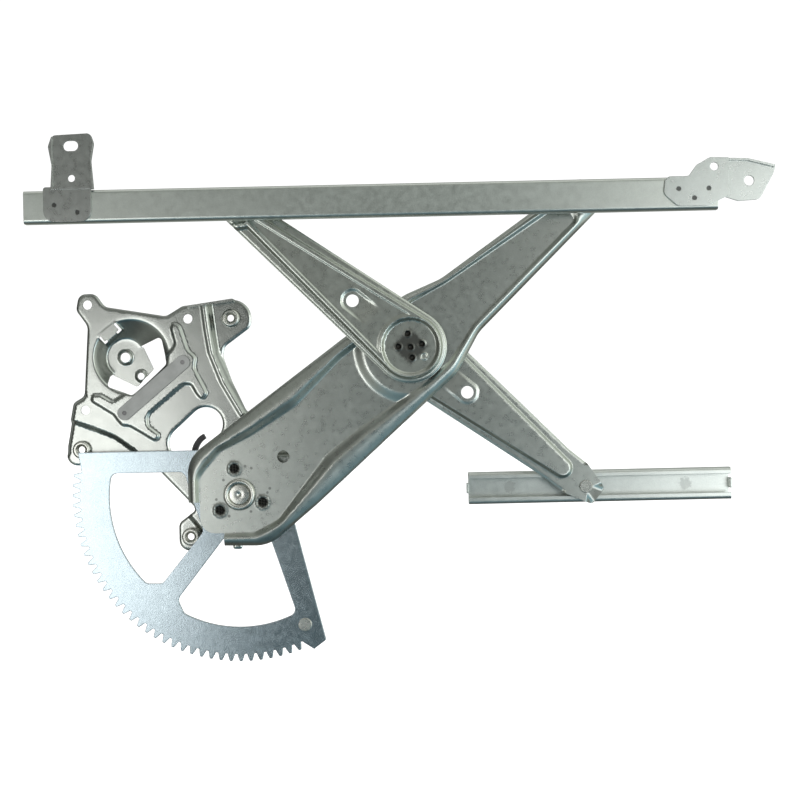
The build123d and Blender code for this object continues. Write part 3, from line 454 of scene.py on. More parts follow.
LEVEL = np.radians(39.6)
COS, SIN = np.cos(LEVEL), np.sin(LEVEL)
HALF_ARM = 168.0
CROSS = (HALF_ARM * COS, HALF_ARM * SIN)
from_base = turned_frame((0, 0), (1, 0), (0, 1))
from_pivot = turned_frame((0, 0), (COS, SIN), (-SIN, COS))
to_sash = turned_frame(CROSS, (-COS, SIN), (-SIN, -COS))
to_rail = turned_frame(CROSS, (COS, -SIN), (SIN, COS))
print("cross pivot at", np.round(CROSS, 2))

# %% [markdown]
# ## Main arm
# The arm carries the window's weight, so its rims are rolled up and its pan is
# sunk. From the cut edge the rim swells to a crest a little past its middle and
# drops into the pan. The pan's floor is raised round the cross pivot and on to
# the arm's end. Three welds hold the pivot, and each has left a small crater.

# %% Outlines of the main arm
arm_edge = rounded_loop(
    [
        (-11.5, 45.7), (135.0, 37.4), (190.0, 32.0), (218.0, 23.5), (349.0, 13.0), (349.0, -13.6),
        (214.0, -25.2), (182.0, -37.6), (40.0, -43.4), (-8.0, -43.4), (-53.0, -4.7),
    ],
    [24, 60, 40, 40, 10, 10, 30, 30, 60, 28, 12],
)
arm_pan = rounded_loop(
    [
        (-14.5, 29.0), (10.0, 33.2), (34.0, 27.2), (75.0, 21.6), (123.0, 26.8), (192.0, 23.6), (219.0, 18.2),
        (322.0, 6.6), (322.0, -8.4), (216.0, -16.9), (184.0, -26.2), (160.0, -27.0), (100.0, -20.4),
        (68.0, -19.4), (10.0, -32.6), (-10.1, -28.2), (-41.0, -3.0),
    ],
    [9, 10, 20, 40, 40, 30, 30, 3, 3, 30, 16, 16, 40, 40, 14, 6, 1],
)
notch = rounded_loop(
    [(-11.7, -80.0), (-11.7, -28.6), (-29.6, -28.6), (-29.6, -5.3), (-80.0, -5.3), (-80.0, -80.0)],
    [1, 0.6, 11, 0.6, 1, 1],
)
turn_to_arm = np.array([[COS, -SIN], [SIN, COS]])
notch = notch @ turn_to_arm
ARM_HOLES = [((0, 0), 8.52), ((HALF_ARM, 0), 8.05), ((2 * HALF_ARM, 0), 3.52), ((43, 0), 4.6)]
CRATER_SPOTS = [(-3.7, 19.3), (17.0, -6.3), (-14.8, -11.6)]
craters = np.array(CRATER_SPOTS) @ turn_to_arm
print("main arm outline", len(arm_edge), "points, pan", len(arm_pan))

# %% [markdown]
# The rim, the floor and the craters are three terms of one height. Each is a
# plain curve of a distance: from the cut edge, from the pan, from the cross
# pivot or from a weld.

# %% Height of the main arm
ARM_FLOOR, ARM_STEP, BOSS_RADIUS, STEP_WIDTH = 8.5, 3.0, 40.6, 9.0
RIM_FOOT, RIM_SWELL, CREST_AT, DROP_AT = 10.0, 3.5, 0.58, 0.60


def arm_metal(points):
    """True where the main arm has metal: inside its edge, outside its holes and its notched corner."""
    return (depth_in(points, arm_edge) > 0) & (depth_in(points, notch) < 0) & outside(points, ARM_HOLES)


def arm_height(points):
    """Height of the main arm's front skin.

    The floor is raised by a step inside the cross boss and beyond it. A share runs from 0 at the cut edge
    to 1 at the pan: the rim swells to its crest as a quarter sine, and after that it drops to the floor as
    a smooth step. Each crater is a ring less a bowl, made uneven by two crossed waves.
    """
    edge, pan = depth_in(points, arm_edge), depth_in(points, arm_pan)
    from_cross = np.hypot(points[:, 0] - HALF_ARM, points[:, 1])
    raised = ease((np.maximum(BOSS_RADIUS - from_cross, points[:, 0] - HALF_ARM) + 2.5) / STEP_WIDTH)
    floor = ARM_FLOOR + ARM_STEP * raised
    share = np.where(pan > 0, 1.0, edge / np.maximum(edge - pan, 1e-6))
    swell = RIM_FOOT + RIM_SWELL * np.sin(np.pi / 2 * np.clip(share / CREST_AT, 0, 1))
    height = swell + (floor - swell) * ease((share - DROP_AT) / (1.0 - DROP_AT))
    height -= hump(edge, 1.1)
    for centre in craters:
        away = points - centre
        radius = np.hypot(*away.T)
        uneven = np.sin(2.3 * away[:, 0] + 1.1) * np.sin(1.9 * away[:, 1] + 0.4)
        height += 0.35 * hump(radius - 4.7, 0.9) * (1 + 0.6 * uneven)
        height -= (0.8 + 0.7 * uneven) * ease((3.9 - radius) / 1.6)
    return height


ARM_THICKNESS = 2.0
main_arm = pressed_sheet(
    "main_arm_pressing", [arm_edge, arm_pan, notch, *rings(ARM_HOLES)], arm_metal, arm_height,
    ARM_THICKNESS, from_pivot,
    fine=[(centre, 7.0, 0.45) for centre in craters],
    bands=[(arm_edge, (0.6, 1.3, 2.2, 3.4)), (arm_pan, (-5.2, -4.2, -3.2, -2.3, -1.5, -0.8, 0.8))],
    even=True,
)
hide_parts("main_arm")
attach(main_arm, "main_arm")

# %% [markdown]
# ## The two halves of the balance arm
# Both halves are the same kind of pressing, put back to back with the main arm
# between them. A flat flange runs round a raised field, and the jig hole sits
# in a long dish, sunk on the upper half and standing proud on the lower one,
# which is seen from its other face.

# %% Upper half of the balance arm
CAP, DISC, FLANGE, JIG_HOLE = 27.2, 18.8, 2.6, 54.5
UPPER_FLANGE, FIELD_RISE, RIDGE, CAP_FACE = 16.0, 3.0, 2.4, 16.4
upper_edge = tapered_loop(CAP, 11.2, HALF_ARM)
upper_field = tapered_loop(CAP - FLANGE, 6.5, HALF_ARM - 16)
upper_end = rounded_loop([(148, -6.5), (158, -17), (192, -17), (192, 17), (158, 17), (148, 6.5)], 1.5)
UPPER_HOLES = [((JIG_HOLE, 0), 4.7), ((HALF_ARM, 0), 3.52)]
CAP_SPOTS = [(0.1, -0.4), (-1.8, 9.6), (-8.8, 0.1), (8.6, 1.8), (1.1, -8.2)]
turn_to_sash = np.array([[-COS, -SIN], [SIN, -COS]])
weld_dimples = np.array(CAP_SPOTS) @ turn_to_sash
small_ring = np.array([10.0, -7.3]) @ turn_to_sash


def dish(points):
    """Share of the jig hole's dish: 1 near a line from the hole to the cap, fading out towards the cap."""
    beyond = points[:, 0] - np.clip(points[:, 0], 32, JIG_HOLE)
    away = np.hypot(beyond, points[:, 1])
    return ease((9.2 - away) / 2.4) * ease((points[:, 0] - 34) / 16)


def upper_metal(points):
    """True inside the upper half's edge and outside its two holes."""
    return (depth_in(points, upper_edge) > 0) & outside(points, UPPER_HOLES)


def upper_height(points):
    """Height of the upper half's front skin.

    The field rises from the flange, a little less behind a narrow ridge, and the cap's disc is sunk into
    it. Each weld is a pit with a raised brim, and one more brim stands alone.
    """
    edge = depth_in(points, upper_edge)
    field = np.maximum(depth_in(points, upper_field), depth_in(points, upper_end))
    height = UPPER_FLANGE + FIELD_RISE * ease(field / RIDGE) - 0.7 * ease((field - 4.2) / 1.6)
    height -= 0.9 * dish(points)
    from_cap = np.hypot(*points.T)
    height += (UPPER_FLANGE + FIELD_RISE - height) * ease((25.0 - from_cap) / 3.0) * (field > RIDGE)
    height += (CAP_FACE - height) * ease((21.6 - from_cap) / 2.6)
    height -= 0.8 * hump(edge, 1.0)
    for centre in weld_dimples:
        radius = np.hypot(*(points - centre).T)
        height += 0.35 * hump(radius - 2.5, 0.6) - ease((2.2 - radius) / 1.5)
    radius = np.hypot(*(points - small_ring).T)
    return height + 0.3 * hump(radius - 2.4, 0.45)


balance_upper = pressed_sheet(
    "balance_upper_pressing", [upper_edge, *rings(UPPER_HOLES)], upper_metal, upper_height,
    ARM_THICKNESS, to_sash, 1.2,
    fine=[(np.zeros(2), 14.0, 0.45)],
    bands=[(upper_edge, (0.5, 1.1, 1.8)), (upper_field, (0.0, 0.6, 1.2, 1.8, 2.4, 3.3, 4.2, 5.0, 5.8))],
    even=True,
)
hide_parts("balance_arm_upper")
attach(balance_upper, "balance_arm")

# %% [markdown]
# The lower half ends in a narrower tongue whose sides are turned up beside the
# roller. Its outline is therefore two loops that overlap.

# %% Lower half of the balance arm
lower_hull = tapered_loop(CAP, 13.6, HALF_ARM - 23)
lower_end = rounded_loop(
    [(130, 14), (158, 14), (180, 7.6), (180, -7.6), (158, -14), (130, -14)], [1, 6, 3, 3, 6, 1]
)
lower_field = tapered_loop(CAP - FLANGE, 8.0, HALF_ARM - 22.5)
LOWER_HOLES = [((0, 0), 6.02), *UPPER_HOLES]
LOWER_FLANGE, LOWER_RISE, LOWER_CAP = 2.5, 3.2, 8.6


def lower_edge_depth(points):
    """Depth inside the lower half's edge, which is the hull and the narrowed end together."""
    return np.maximum(depth_in(points, lower_hull), depth_in(points, lower_end))


def lower_metal(points):
    """True inside the lower half's edge and outside its three holes."""
    return (lower_edge_depth(points) > 0) & outside(points, LOWER_HOLES)


def lower_height(points):
    """Height of the lower half's front skin.

    The field rises from the flange, with the dish a little proud of it, and the cap reaches up to the main
    arm. The edges are rolled back, and beside the roller's stud they are turned up instead.
    """
    edge = lower_edge_depth(points)
    height = LOWER_FLANGE + LOWER_RISE * ease(depth_in(points, lower_field) / 2.8) + 0.6 * dish(points)
    from_cap = np.hypot(*points.T)
    height += (LOWER_CAP - height) * ease((DISC - from_cap) / 1.8)
    at_stud = ease((points[:, 0] - 156) / 3) * ease((178 - points[:, 0]) / 3)
    rolled = 0.7 * hump(edge, 1.0) * (1 - at_stud)
    return height - rolled + 2.2 * at_stud * ease((2.0 - edge) / 1.2)


balance_lower = pressed_sheet(
    "balance_lower_pressing", [lower_hull, lower_end, *rings(LOWER_HOLES)], lower_metal, lower_height,
    ARM_THICKNESS, to_rail, 1.2,
    bands=[(lower_hull, (0.5, 1.1, 1.8)), (lower_field, (0.0, 0.7, 1.4, 2.1, 2.8))],
    even=True,
)
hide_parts("balance_arm_lower")
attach(balance_lower, "balance_arm")

# %% [markdown]
# ## Base plate
# The plate carries everything else. Its three feet are dropped back to the
# door, the motor's nose sits in an oblique funnel, and a low bead with four
# legs stiffens it and carries the slide pad. All of it is one sheet, so one
# function of the depths inside a few loops gives its height.

# %% Outlines of the base plate
base_edge = rounded_loop(
    [
        (-120.5, 140.1), (-118.2, 152.0), (-106.0, 152.4), (-99.0, 142.3), (-53.1, 134.3), (-40.5, 141.8),
        (-28.1, 142.8), (11.0, 148.0), (10.0, 125.4), (-10.5, 110.6), (-11.6, 103.0), (-5.1, 84.0),
        (5.5, 61.7), (42.0, 42.0), (46.0, 18.0), (24.0, -26.0), (0.5, -27.0), (0.5, -41.5), (-6.5, -41.5),
        (-6.5, -25.5), (-25.0, -24.0), (-29.2, -42.4), (-47.5, -42.4), (-47.5, -21.5), (-33.0, -11.0),
        (-60.0, 18.0), (-70.0, 27.0), (-108.0, 27.0), (-116.0, 23.5), (-131.0, 23.5), (-130.6, 38.0),
        (-127.6, 54.0), (-124.4, 70.8), (-115.4, 76.0), (-114.0, 98.0), (-112.0, 128.0),
    ],
    [
        6, 6, 7, 7, 7, 8, 20, 14, 8, 7, 9, 12, 8, 9, 14, 9, 2, 1.5, 1.5, 2, 4, 8, 8, 6, 3, 8, 4, 4, 3, 8,
        8, 12, 5, 7, 14, 9,
    ],
)
right_foot = even_steps(
    [
        (-21.8, 175.0), (-21.8, 140.9), (-19.8, 123.6), (-17.3, 105.4), (-8.6, 84.1), (5.2, 59.8),
        (24.0, 28.0), (60.0, 28.0), (60.0, 175.0),
    ],
    1.2,
)
left_foot = even_steps(
    [
        (-160.0, 57.9), (-124.7, 57.9), (-110.4, 52.8), (-93.3, 45.7), (-77.3, 34.3), (-77.3, -5.0),
        (-160.0, -5.0),
    ],
    1.2,
)
fold_line = np.array([(-24.6, 141.2), (-22.6, 123.6), (-19.9, 106.4), (-11.4, 84.1), (2.4, 59.8)])
slot_loop = tapered_loop(12.6, 12.59, 20.7)
slot_turn = np.radians(42.3)
slot_loop = (slot_loop - (10.35, 0)) @ np.array(
    [[np.cos(slot_turn), np.sin(slot_turn)], [-np.sin(slot_turn), np.cos(slot_turn)]]
) + (-32.5, 45.9)
window = rounded_loop(
    [
        (-76.0, 112.0), (-57.4, 119.4), (-53.4, 98.4), (-79.6, 75.3), (-98.6, 82.4), (-97.4, 90.4),
        (-86.0, 97.0),
    ],
    [2, 3, 3, 3, 3, 2, 2],
)
RECESS_TOP, BEARING = np.array([-79.7, 104.4]), np.array([-85.951, 104.265])
RECESS_RADIUS, FLOOR_RADIUS = 28.0, 14.5
tail = rounded_loop([(-72.8, 112.6), (-64.9, 95.1), (-77.8, 81.8), (-96.4, 91.4)], [1, 2, 2, 1])
step_plate = np.array([(-91.5, 131.5), (-86.0, 125.0), (-99.0, 113.6), (-105.5, 121.0)])
bent_slots = [
    rounded_loop(corners, 0.4, 0.6)
    for corners in (
        [(-92.7, 129.2), (-91.4, 130.4), (-86.4, 124.9), (-89.8, 121.9), (-91.0, 123.2), (-88.9, 125.0)],
        [(-103.9, 119.5), (-102.5, 120.5), (-99.7, 116.3), (-98.0, 117.7), (-96.8, 116.3), (-99.9, 113.7)],
    )
]
drawn_holes = [(tuple(BEARING), 3.75), ((-74.4, 89.9), 2.6)]
round_holes = [
    ((-111.9, 144.0), 3.5), ((-36.8, 132.0), 3.5), ((-115.0, 65.1), 3.5), ((0.0, 0.0), 10.52),
    ((-5.0, 132.0), 3.2), ((-119.0, 35.4), 3.2), ((-38.3, -31.7), 3.2), ((-89.5, 27.0), 6.0), *drawn_holes,
]
print("base plate outline", len(base_edge), "points, round holes", len(round_holes))

# %% [markdown]
# The funnel is the one form here that isn't a plain distance: its wall is a
# cone whose foot lies off its mouth's centre. How far down it a point lies is
# found by solving for the one circle, between mouth and foot, that passes
# through the point.

# %% Height of the base plate
def base_metal(points):
    """True where the base plate has metal; in the window only the bearing plate and its tail remain."""
    solid = (depth_in(points, base_edge) > 0) & (depth_in(points, slot_loop) < 0)
    bearing = (np.hypot(*(points - BEARING).T) < FLOOR_RADIUS) | (depth_in(points, tail) > 0)
    solid &= (depth_in(points, window) < 0) | bearing
    for loop in bent_slots:
        solid &= depth_in(points, loop) < 0
    return solid & outside(points, round_holes)


def line_distance(points, start, end):
    """Distance of each point from a straight line between two points."""
    start, side = np.asarray(start, float), np.subtract(end, start)
    along = np.clip(((points - start) @ side) / (side @ side), 0, 1)
    return np.hypot(*(points - start - along[:, None] * side).T)


def funnel(points):
    """How far down the oblique funnel a point is, 0 at its mouth and 1 on its floor.

    The wall's circle moves and shrinks evenly from the mouth to the floor, so a point's share s solves
    distance from (mouth + s * shift) = mouth radius + s * change, which is a quadratic in s. The share is
    kept between 0 and 1 by two hyperbolas, which round the lip and the foot of the wall.
    """
    softness = 0.003
    shift, change = BEARING - RECESS_TOP, FLOOR_RADIUS - RECESS_RADIUS
    away = points - RECESS_TOP
    a = shift @ shift - change**2
    b = -2 * (away @ shift) - 2 * RECESS_RADIUS * change
    c = (away**2).sum(1) - RECESS_RADIUS**2
    root = np.sqrt(np.maximum(b * b - 4 * a * c, 0))
    share = (-b + root) / (2 * a)
    share = (share + np.sqrt(share**2 + softness)) / 2
    return 1 - (1 - share + np.sqrt((1 - share) ** 2 + softness)) / 2


bead_loop = rounded_loop(
    [
        (-49.3, 124.6), (-47.6, 129.4), (-42.9, 126.6), (-37.2, 108.5), (-31.4, 102.9), (-32.8, 95.1),
        (-23.4, 75.7), (-27.6, 71.4), (-31.3, 75.9), (-34.9, 82.7), (-40.6, 83.8), (-67.4, 61.8),
        (-68.9, 58.0), (-68.1, 51.9), (-59.6, 45.2), (-63.0, 41.2), (-81.5, 52.6), (-88.1, 53.7),
        (-93.7, 61.5), (-110.3, 72.0), (-108.6, 76.6), (-103.4, 76.2), (-94.5, 70.6), (-86.7, 75.2),
        (-52.6, 104.6), (-46.2, 113.0),
    ],
    [2, 1.6, 2, 7, 3, 5, 2, 2, 8, 3, 6, 5, 3, 3, 2, 2, 7, 3, 5, 2, 1.6, 2, 4, 3, 4, 6],
    0.9,
)
BEAD_HEIGHT, RIB_HEIGHT, FOOT_HEIGHT, FUNNEL_HEIGHT = 1.4, 1.0, -6.0, -12.0
LOWER_FOOT_WAY = np.array([-0.7705, -0.6374])


def base_height(points):
    """Height of the base plate's front skin.

    Feet drop beyond their folds, the funnel goes down to its floor, and the bead and the rib along the
    right fold rise. Each is a smooth step of a depth or a distance. Collars stand round the two drawn holes,
    and every cut edge is rolled back a little.
    """
    edge = np.minimum(depth_in(points, base_edge), -depth_in(points, slot_loop))
    height = np.zeros(len(points))
    height += BEAD_HEIGHT * ease((depth_in(points, bead_loop) + 0.9) / 1.8)
    folds = [line_distance(points, *ends) for ends in zip(fold_line[:-1], fold_line[1:])]
    height += RIB_HEIGHT * ease((2.6 - np.min(folds, axis=0)) / 1.6)
    right = ease((depth_in(points, right_foot) + 0.4) / 3.4)
    left = ease((depth_in(points, left_foot) + 0.4) / 3.4)
    outward, sideways = points @ LOWER_FOOT_WAY, points @ (-LOWER_FOOT_WAY[1], LOWER_FOOT_WAY[0])
    lower = ease((np.minimum(outward - 39.0, 30.0 - np.abs(sideways)) + 0.4) / 3.4)
    height += (FOOT_HEIGHT - height) * np.max([right, left, lower], axis=0)
    down = funnel(points)
    down = np.where(depth_in(points, tail) > -0.2, 1.0, down)
    down *= 1 - ease((depth_in(points, step_plate) + 0.3) / 0.6)
    height += (FUNNEL_HEIGHT - height) * down
    for centre, radius in drawn_holes:
        away = np.hypot(*(points - centre).T)
        height += 2.0 * ease((radius + 2.2 - away) / 1.6)
    bent_edge = ease((-112 - points[:, 0]) / 5) * ease((points[:, 1] - 30) / 4)
    bent_edge *= ease((80 - points[:, 1]) / 5)
    height -= 3.0 * bent_edge * ease((2.6 - edge) / 2.2)
    return height - 0.7 * hump(edge, 0.9)


BASE_THICKNESS = 1.8
base_loops = [base_edge, slot_loop, window, tail, ring(BEARING, FLOOR_RADIUS), *bent_slots]
base_loops += rings(round_holes)
base_plate = pressed_sheet(
    "base_plate_pressing", base_loops, base_metal, base_height, BASE_THICKNESS, from_base, 1.2,
    fine=[(RECESS_TOP, 33.0, 0.8)],
    bands=[
        (base_edge, (0.5, 1.0, 1.6)), (slot_loop, (-1.6, -1.0, -0.5)), (bead_loop, (-0.9, -0.3, 0.3, 0.9)),
        *((foot, (-0.4, 0.4, 1.2, 2.1, 3.0)) for foot in (right_foot, left_foot)),
    ],
)

# %% [markdown]
# ## Bent-up edges of the base plate
# A flange along the top edge and a tab for the spring stand at right angles to
# the plate. A height can't give a wall that stands upright, so each is a narrow
# block of its own with the same finish.

# %% Flange, spring tab and the plate's ride
top_flange = rounded_loop([(-37.0, 141.7), (-2.0, 146.4), (-2.2, 144.6), (-37.2, 139.9)], 0.3)
spring_tab = rounded_loop([(-38.62, 14.0), (-36.82, 14.0), (-36.82, 24.0), (-38.62, 24.0)], 0.3)


def upright(name, loop, top, tall):
    """Upright block: its loop is filled at one height and carried down by the block's height."""
    return pressed_sheet(
        name, [loop], lambda p: depth_in(p, loop) > 0, lambda p: np.full(len(p), top), tall, from_base
    )


flange_piece = upright("top_flange", top_flange, 4.0, 11.8)
tab_piece = upright("spring_tab", spring_tab, -1.0, 11.3)
for piece in (base_plate, flange_piece, tab_piece):
    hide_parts("base_plate")
    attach(piece, "base")

# %% [markdown]
# ## Main pivot
# The pivot is turned and then headed: its rim is rolled over into a thick round
# ring that holds a bright disc with a centre dimple. A profile that is carried
# round the axis gives all of that. The slot for the spring's inner end isn't
# round, so the arbor behind the plate is a block cut from a loop.

# %% Turned pivot and its slotted arbor
def turned(name, profile, to_frame, sides=96):
    """Body of revolution: a profile of radii and heights swept round the axis, both ends on the axis."""
    profile = np.asarray(profile, float)
    angle = np.linspace(0, 2 * np.pi, sides, endpoint=False)
    rings = profile[1:-1, :1] * np.exp(1j * angle)
    flat = np.column_stack([rings.real.ravel(), rings.imag.ravel()])
    heights = np.repeat(profile[1:-1, 1], sides)
    points = np.vstack([to_frame(flat, heights), to_frame(np.zeros((2, 2)), profile[[0, -1], 1])])
    here = np.arange(sides)
    nxt = np.roll(here, -1)
    rows = (np.arange(len(profile) - 3) * sides)[:, None]
    quads = np.stack([rows + here, rows + here + sides, rows + nxt + sides, rows + nxt], axis=2)
    quads = quads.reshape(-1, 4)
    last, pole = (len(profile) - 3) * sides, len(flat)
    caps = np.column_stack([np.full(sides, pole), here, nxt]).tolist()
    caps += np.column_stack([np.full(sides, pole + 1), last + nxt, last + here]).tolist()
    mesh = bpy.data.meshes.new(name)
    mesh.from_pydata(points, [], quads.tolist() + caps)
    mesh.polygons.foreach_set("use_smooth", np.ones(len(mesh.polygons), bool))
    mesh.set_sharp_from_angle(angle=np.radians(40))
    piece = bpy.data.objects.new(name, mesh)
    bpy.context.scene.collection.objects.link(piece)
    print(name, "points", len(points))
    return piece


curl = np.radians(np.linspace(200, 0, 15))
rolled_rim = np.column_stack([9.8 + 2.1 * np.cos(curl), 10.5 + 1.9 * np.sin(curl)])
pin_profile = [(0, 10.2), (0.7, 10.3), (1.3, 10.75), (2.0, 10.95), (4.5, 11.0), (7.2, 10.7)]
pin_profile += rolled_rim.tolist()
pin_profile += [(11.9, 8.55), (8.5, 8.5), (8.5, -2.1), (7.0, -2.1), (7.0, -4.19), (0, -4.2)]
ARBOR_RADIUS = 7.0
arbor_edge = ring((0, 0), ARBOR_RADIUS, 0.5)
arbor_slot = rounded_loop([(-9, -2.1), (9, -2.1), (9, 2.1), (-9, 2.1)], 0.2)
pin_piece = turned("pivot_pin_turned", pin_profile, from_base)
arbor_piece = pressed_sheet(
    "pivot_arbor", [arbor_edge, arbor_slot],
    lambda p: (np.hypot(*p.T) < ARBOR_RADIUS) & (depth_in(p, arbor_slot) < 0),
    lambda p: np.full(len(p), -4.1), 9.4, from_base,
)
for piece in (pin_piece, arbor_piece):
    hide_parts("pivot_pin")
    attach(piece, "main_arm")

# %% [markdown]
# ## Zinc plating
# Electroplated zinc is a metal with a satin gloss. Up close it has a fine
# speckle, and over a few millimetres it is cloudy, because the bath and the
# handling leave it uneven. Both are noises of different size. They are kept in
# one node group, so that every plated piece has the same skin at its own
# strength. The group also rounds the edges of the shading, as a press does.

# %% Node group for the zinc skin
def new_group(name, takes, gives):
    """Node group with named sockets, each given as (name, kind, value)."""
    group = bpy.data.node_groups.new(name, "ShaderNodeTree")
    for label, kind, value in takes:
        socket = group.interface.new_socket(label, in_out="INPUT", socket_type=kind)
        if value is not None:
            socket.default_value = value
    for label, kind in gives:
        group.interface.new_socket(label, in_out="OUTPUT", socket_type=kind)
    return group


zinc_skin = new_group(
    "zinc_skin",
    [
        ("Vector", "NodeSocketVector", None),
        ("Colour", "NodeSocketColor", (0.6, 0.6, 0.6, 1)),
        ("Cloud", "NodeSocketFloat", 0.12),
        ("Speckle", "NodeSocketFloat", 0.10),
        ("Gloss", "NodeSocketFloat", 0.34),
        ("Relief", "NodeSocketFloat", 0.25),
        ("Edge", "NodeSocketFloat", 0.0008),
    ],
    [("Colour", "NodeSocketColor"), ("Roughness", "NodeSocketFloat"), ("Normal", "NodeSocketVector")],
)
g = zinc_skin
came, goes = g.nodes.new("NodeGroupInput"), g.nodes.new("NodeGroupOutput")
cloud, blotch, speck = (
    add_node(
        g, "ShaderNodeTexNoise", Vector=came.outputs["Vector"], Scale=scale, Detail=detail, Roughness=rough
    ).outputs["Fac"]
    for scale, detail, rough in ((38.0, 4.0, 0.6), (210.0, 3.0, 0.55), (1500.0, 2.0, 0.6))
)
product = 1.0
for noise, strength in ((cloud, "Cloud"), (blotch, "Cloud"), (speck, "Speckle")):
    centred = calculate(g, "SUBTRACT", noise, 0.5)
    about_one = calculate(g, "MULTIPLY_ADD", centred, came.outputs[strength], 1.0)
    product = calculate(g, "MULTIPLY", product, about_one)
grey = add_node(g, "ShaderNodeCombineColor", None, (product, product, product))
tone = mix_colour(g, "MULTIPLY", 1.0, came.outputs["Colour"], grey.outputs[0])
uneven = calculate(g, "MULTIPLY_ADD", blotch, 0.14, came.outputs["Gloss"])
round_edge = add_node(g, "ShaderNodeBevel", {"samples": 4}, Radius=came.outputs["Edge"])
dents = add_node(
    g, "ShaderNodeBump", Distance=0.00012, Strength=came.outputs["Relief"],
    Height=calculate(g, "ADD", blotch, speck), Normal=round_edge.outputs["Normal"],
)
fill(g, goes, Colour=tone, Roughness=uneven, Normal=dents.outputs["Normal"])
print("zinc skin has", len(g.nodes), "nodes")

# %% [markdown]
# ## Burnt marks
# Resistance welding darkens the zinc round each nugget. The mark is a disc with
# a ragged edge: the distance from the weld, with a noise added, fades from one
# to nought near the mark's radius. Where the electrode had corners the distance
# is mixed with the sum of the two offsets, which gives a diamond.

# %% Node group for a burnt mark
burn = new_group(
    "burnt_mark",
    [
        ("Vector", "NodeSocketVector", None),
        ("Centre", "NodeSocketVector", None),
        ("Radius", "NodeSocketFloat", 0.005),
        ("Ragged", "NodeSocketFloat", 0.4),
        ("Corners", "NodeSocketFloat", 0.0),
    ],
    [("Mask", "NodeSocketFloat")],
)
g = burn
came, goes = g.nodes.new("NodeGroupInput"), g.nodes.new("NodeGroupOutput")


def vector_math(operation, *values):
    """Vector Math node of the mark's group."""
    return add_node(g, "ShaderNodeVectorMath", {"operation": operation}, values)


offset = vector_math("SUBTRACT", came.outputs["Vector"], came.outputs["Centre"]).outputs[0]
straight = vector_math("LENGTH", offset).outputs["Value"]
stepped = vector_math("DOT_PRODUCT", vector_math("ABSOLUTE", offset).outputs[0], (1, 0, 1)).outputs["Value"]
measure = add_node(g, "ShaderNodeMix", None, (came.outputs["Corners"], None, straight, stepped)).outputs[0]
share = calculate(g, "DIVIDE", measure, came.outputs["Radius"])
rag = add_node(
    g, "ShaderNodeTexNoise", Vector=came.outputs["Vector"], Scale=420.0, Detail=4.0, Roughness=0.7
).outputs["Fac"]
ragged = calculate(g, "MULTIPLY_ADD", calculate(g, "SUBTRACT", rag, 0.5), came.outputs["Ragged"], share)
fade = add_node(
    g, "ShaderNodeMapRange", {"interpolation_type": "SMOOTHSTEP"}, (ragged, 0.75, 1.15, 1.0, 0.0)
)
fill(g, goes, Mask=fade.outputs["Result"])
print("burnt mark has", len(g.nodes), "nodes")

# %% [markdown]
# ## Finishes
# Each plated piece has its own tone. The sector is bluer than the arms, since
# it was plated in another bath, and the small turned parts are brighter.

# %% Zinc finishes with their marks
BURNT, BURNT_ROUGHNESS = (0.03, 0.027, 0.024, 1), 0.42


def new_finish(name):
    """Empty finish: the material, its node tree, its shader and the Object coordinates."""
    finish = bpy.data.materials.new(name)
    finish.use_nodes = True
    tree = finish.node_tree
    where = add_node(tree, "ShaderNodeTexCoord").outputs["Object"]
    return finish, tree, tree.nodes["Principled BSDF"], where


def scaled(tree, source, low, high, to_low, to_high):
    """Output of a Map Range node from one span of values to another."""
    return add_node(tree, "ShaderNodeMapRange", None, (source, low, high, to_low, to_high)).outputs["Result"]


def zinc_finish(name, colour, strengths, marks=()):
    """Plated steel: the zinc skin, darkened at marks.

    The strengths are cloud, speckle, gloss, relief and edge. A mark is a point, a radius, a darkness, a
    raggedness and, if it has them, its corners.
    """
    finish, tree, shader, where = new_finish(name)
    skin = add_node(
        tree, "ShaderNodeGroup", {"node_tree": zinc_skin}, (where, (*colour, 1), *strengths)
    )
    shade, rough = skin.outputs["Colour"], skin.outputs["Roughness"]
    for point, radius, darkness, ragged_edge, *corners in marks:
        mark = add_node(
            tree, "ShaderNodeGroup", {"node_tree": burn}, Vector=where, Centre=tuple(point), Radius=radius,
            Ragged=ragged_edge, Corners=corners[0] if corners else 0.0,
        )
        amount = calculate(tree, "MULTIPLY", mark.outputs["Mask"], darkness)
        shade = mix_colour(tree, "MIX", amount, shade, BURNT)
        rough = scaled(tree, amount, 0.0, 1.0, rough, BURNT_ROUGHNESS)
    fill(tree, shader, Base_Color=shade, Roughness=rough, Normal=skin.outputs["Normal"], Metallic=1.0)
    return finish


SHEET = (0.17, 0.20, 0.22, 0.05, 0.0002)
PLATINGS = {
    "zinc_base": ((0.47, 0.485, 0.455), (0.18, 0.24, 0.16, 0.10, 0.0002)),
    "zinc_sector": ((0.42, 0.485, 0.515), (0.26, 0.50, 0.14, 0.25, 0.0010)),
    "zinc_channel": ((0.70, 0.73, 0.68), (0.14, 0.20, 0.25, 0.12, 0.0008)),
    "zinc_hardware": ((0.61, 0.61, 0.56), (0.24, 0.24, 0.20, 0.25, 0.0004)),
    "zinc_arm": ((0.55, 0.57, 0.53), SHEET),
}
finishes = {name: zinc_finish(name, *plating) for name, plating in PLATINGS.items()}
print("zinc finishes", sorted(finishes))

# %% [markdown]
# ## Plastics and the spring
# The pad is a grey moulding that the sector has polished along its middle. The
# rollers and the bush are natural nylon, which lets a little light in. The
# spring is blued and oiled, nearly black.

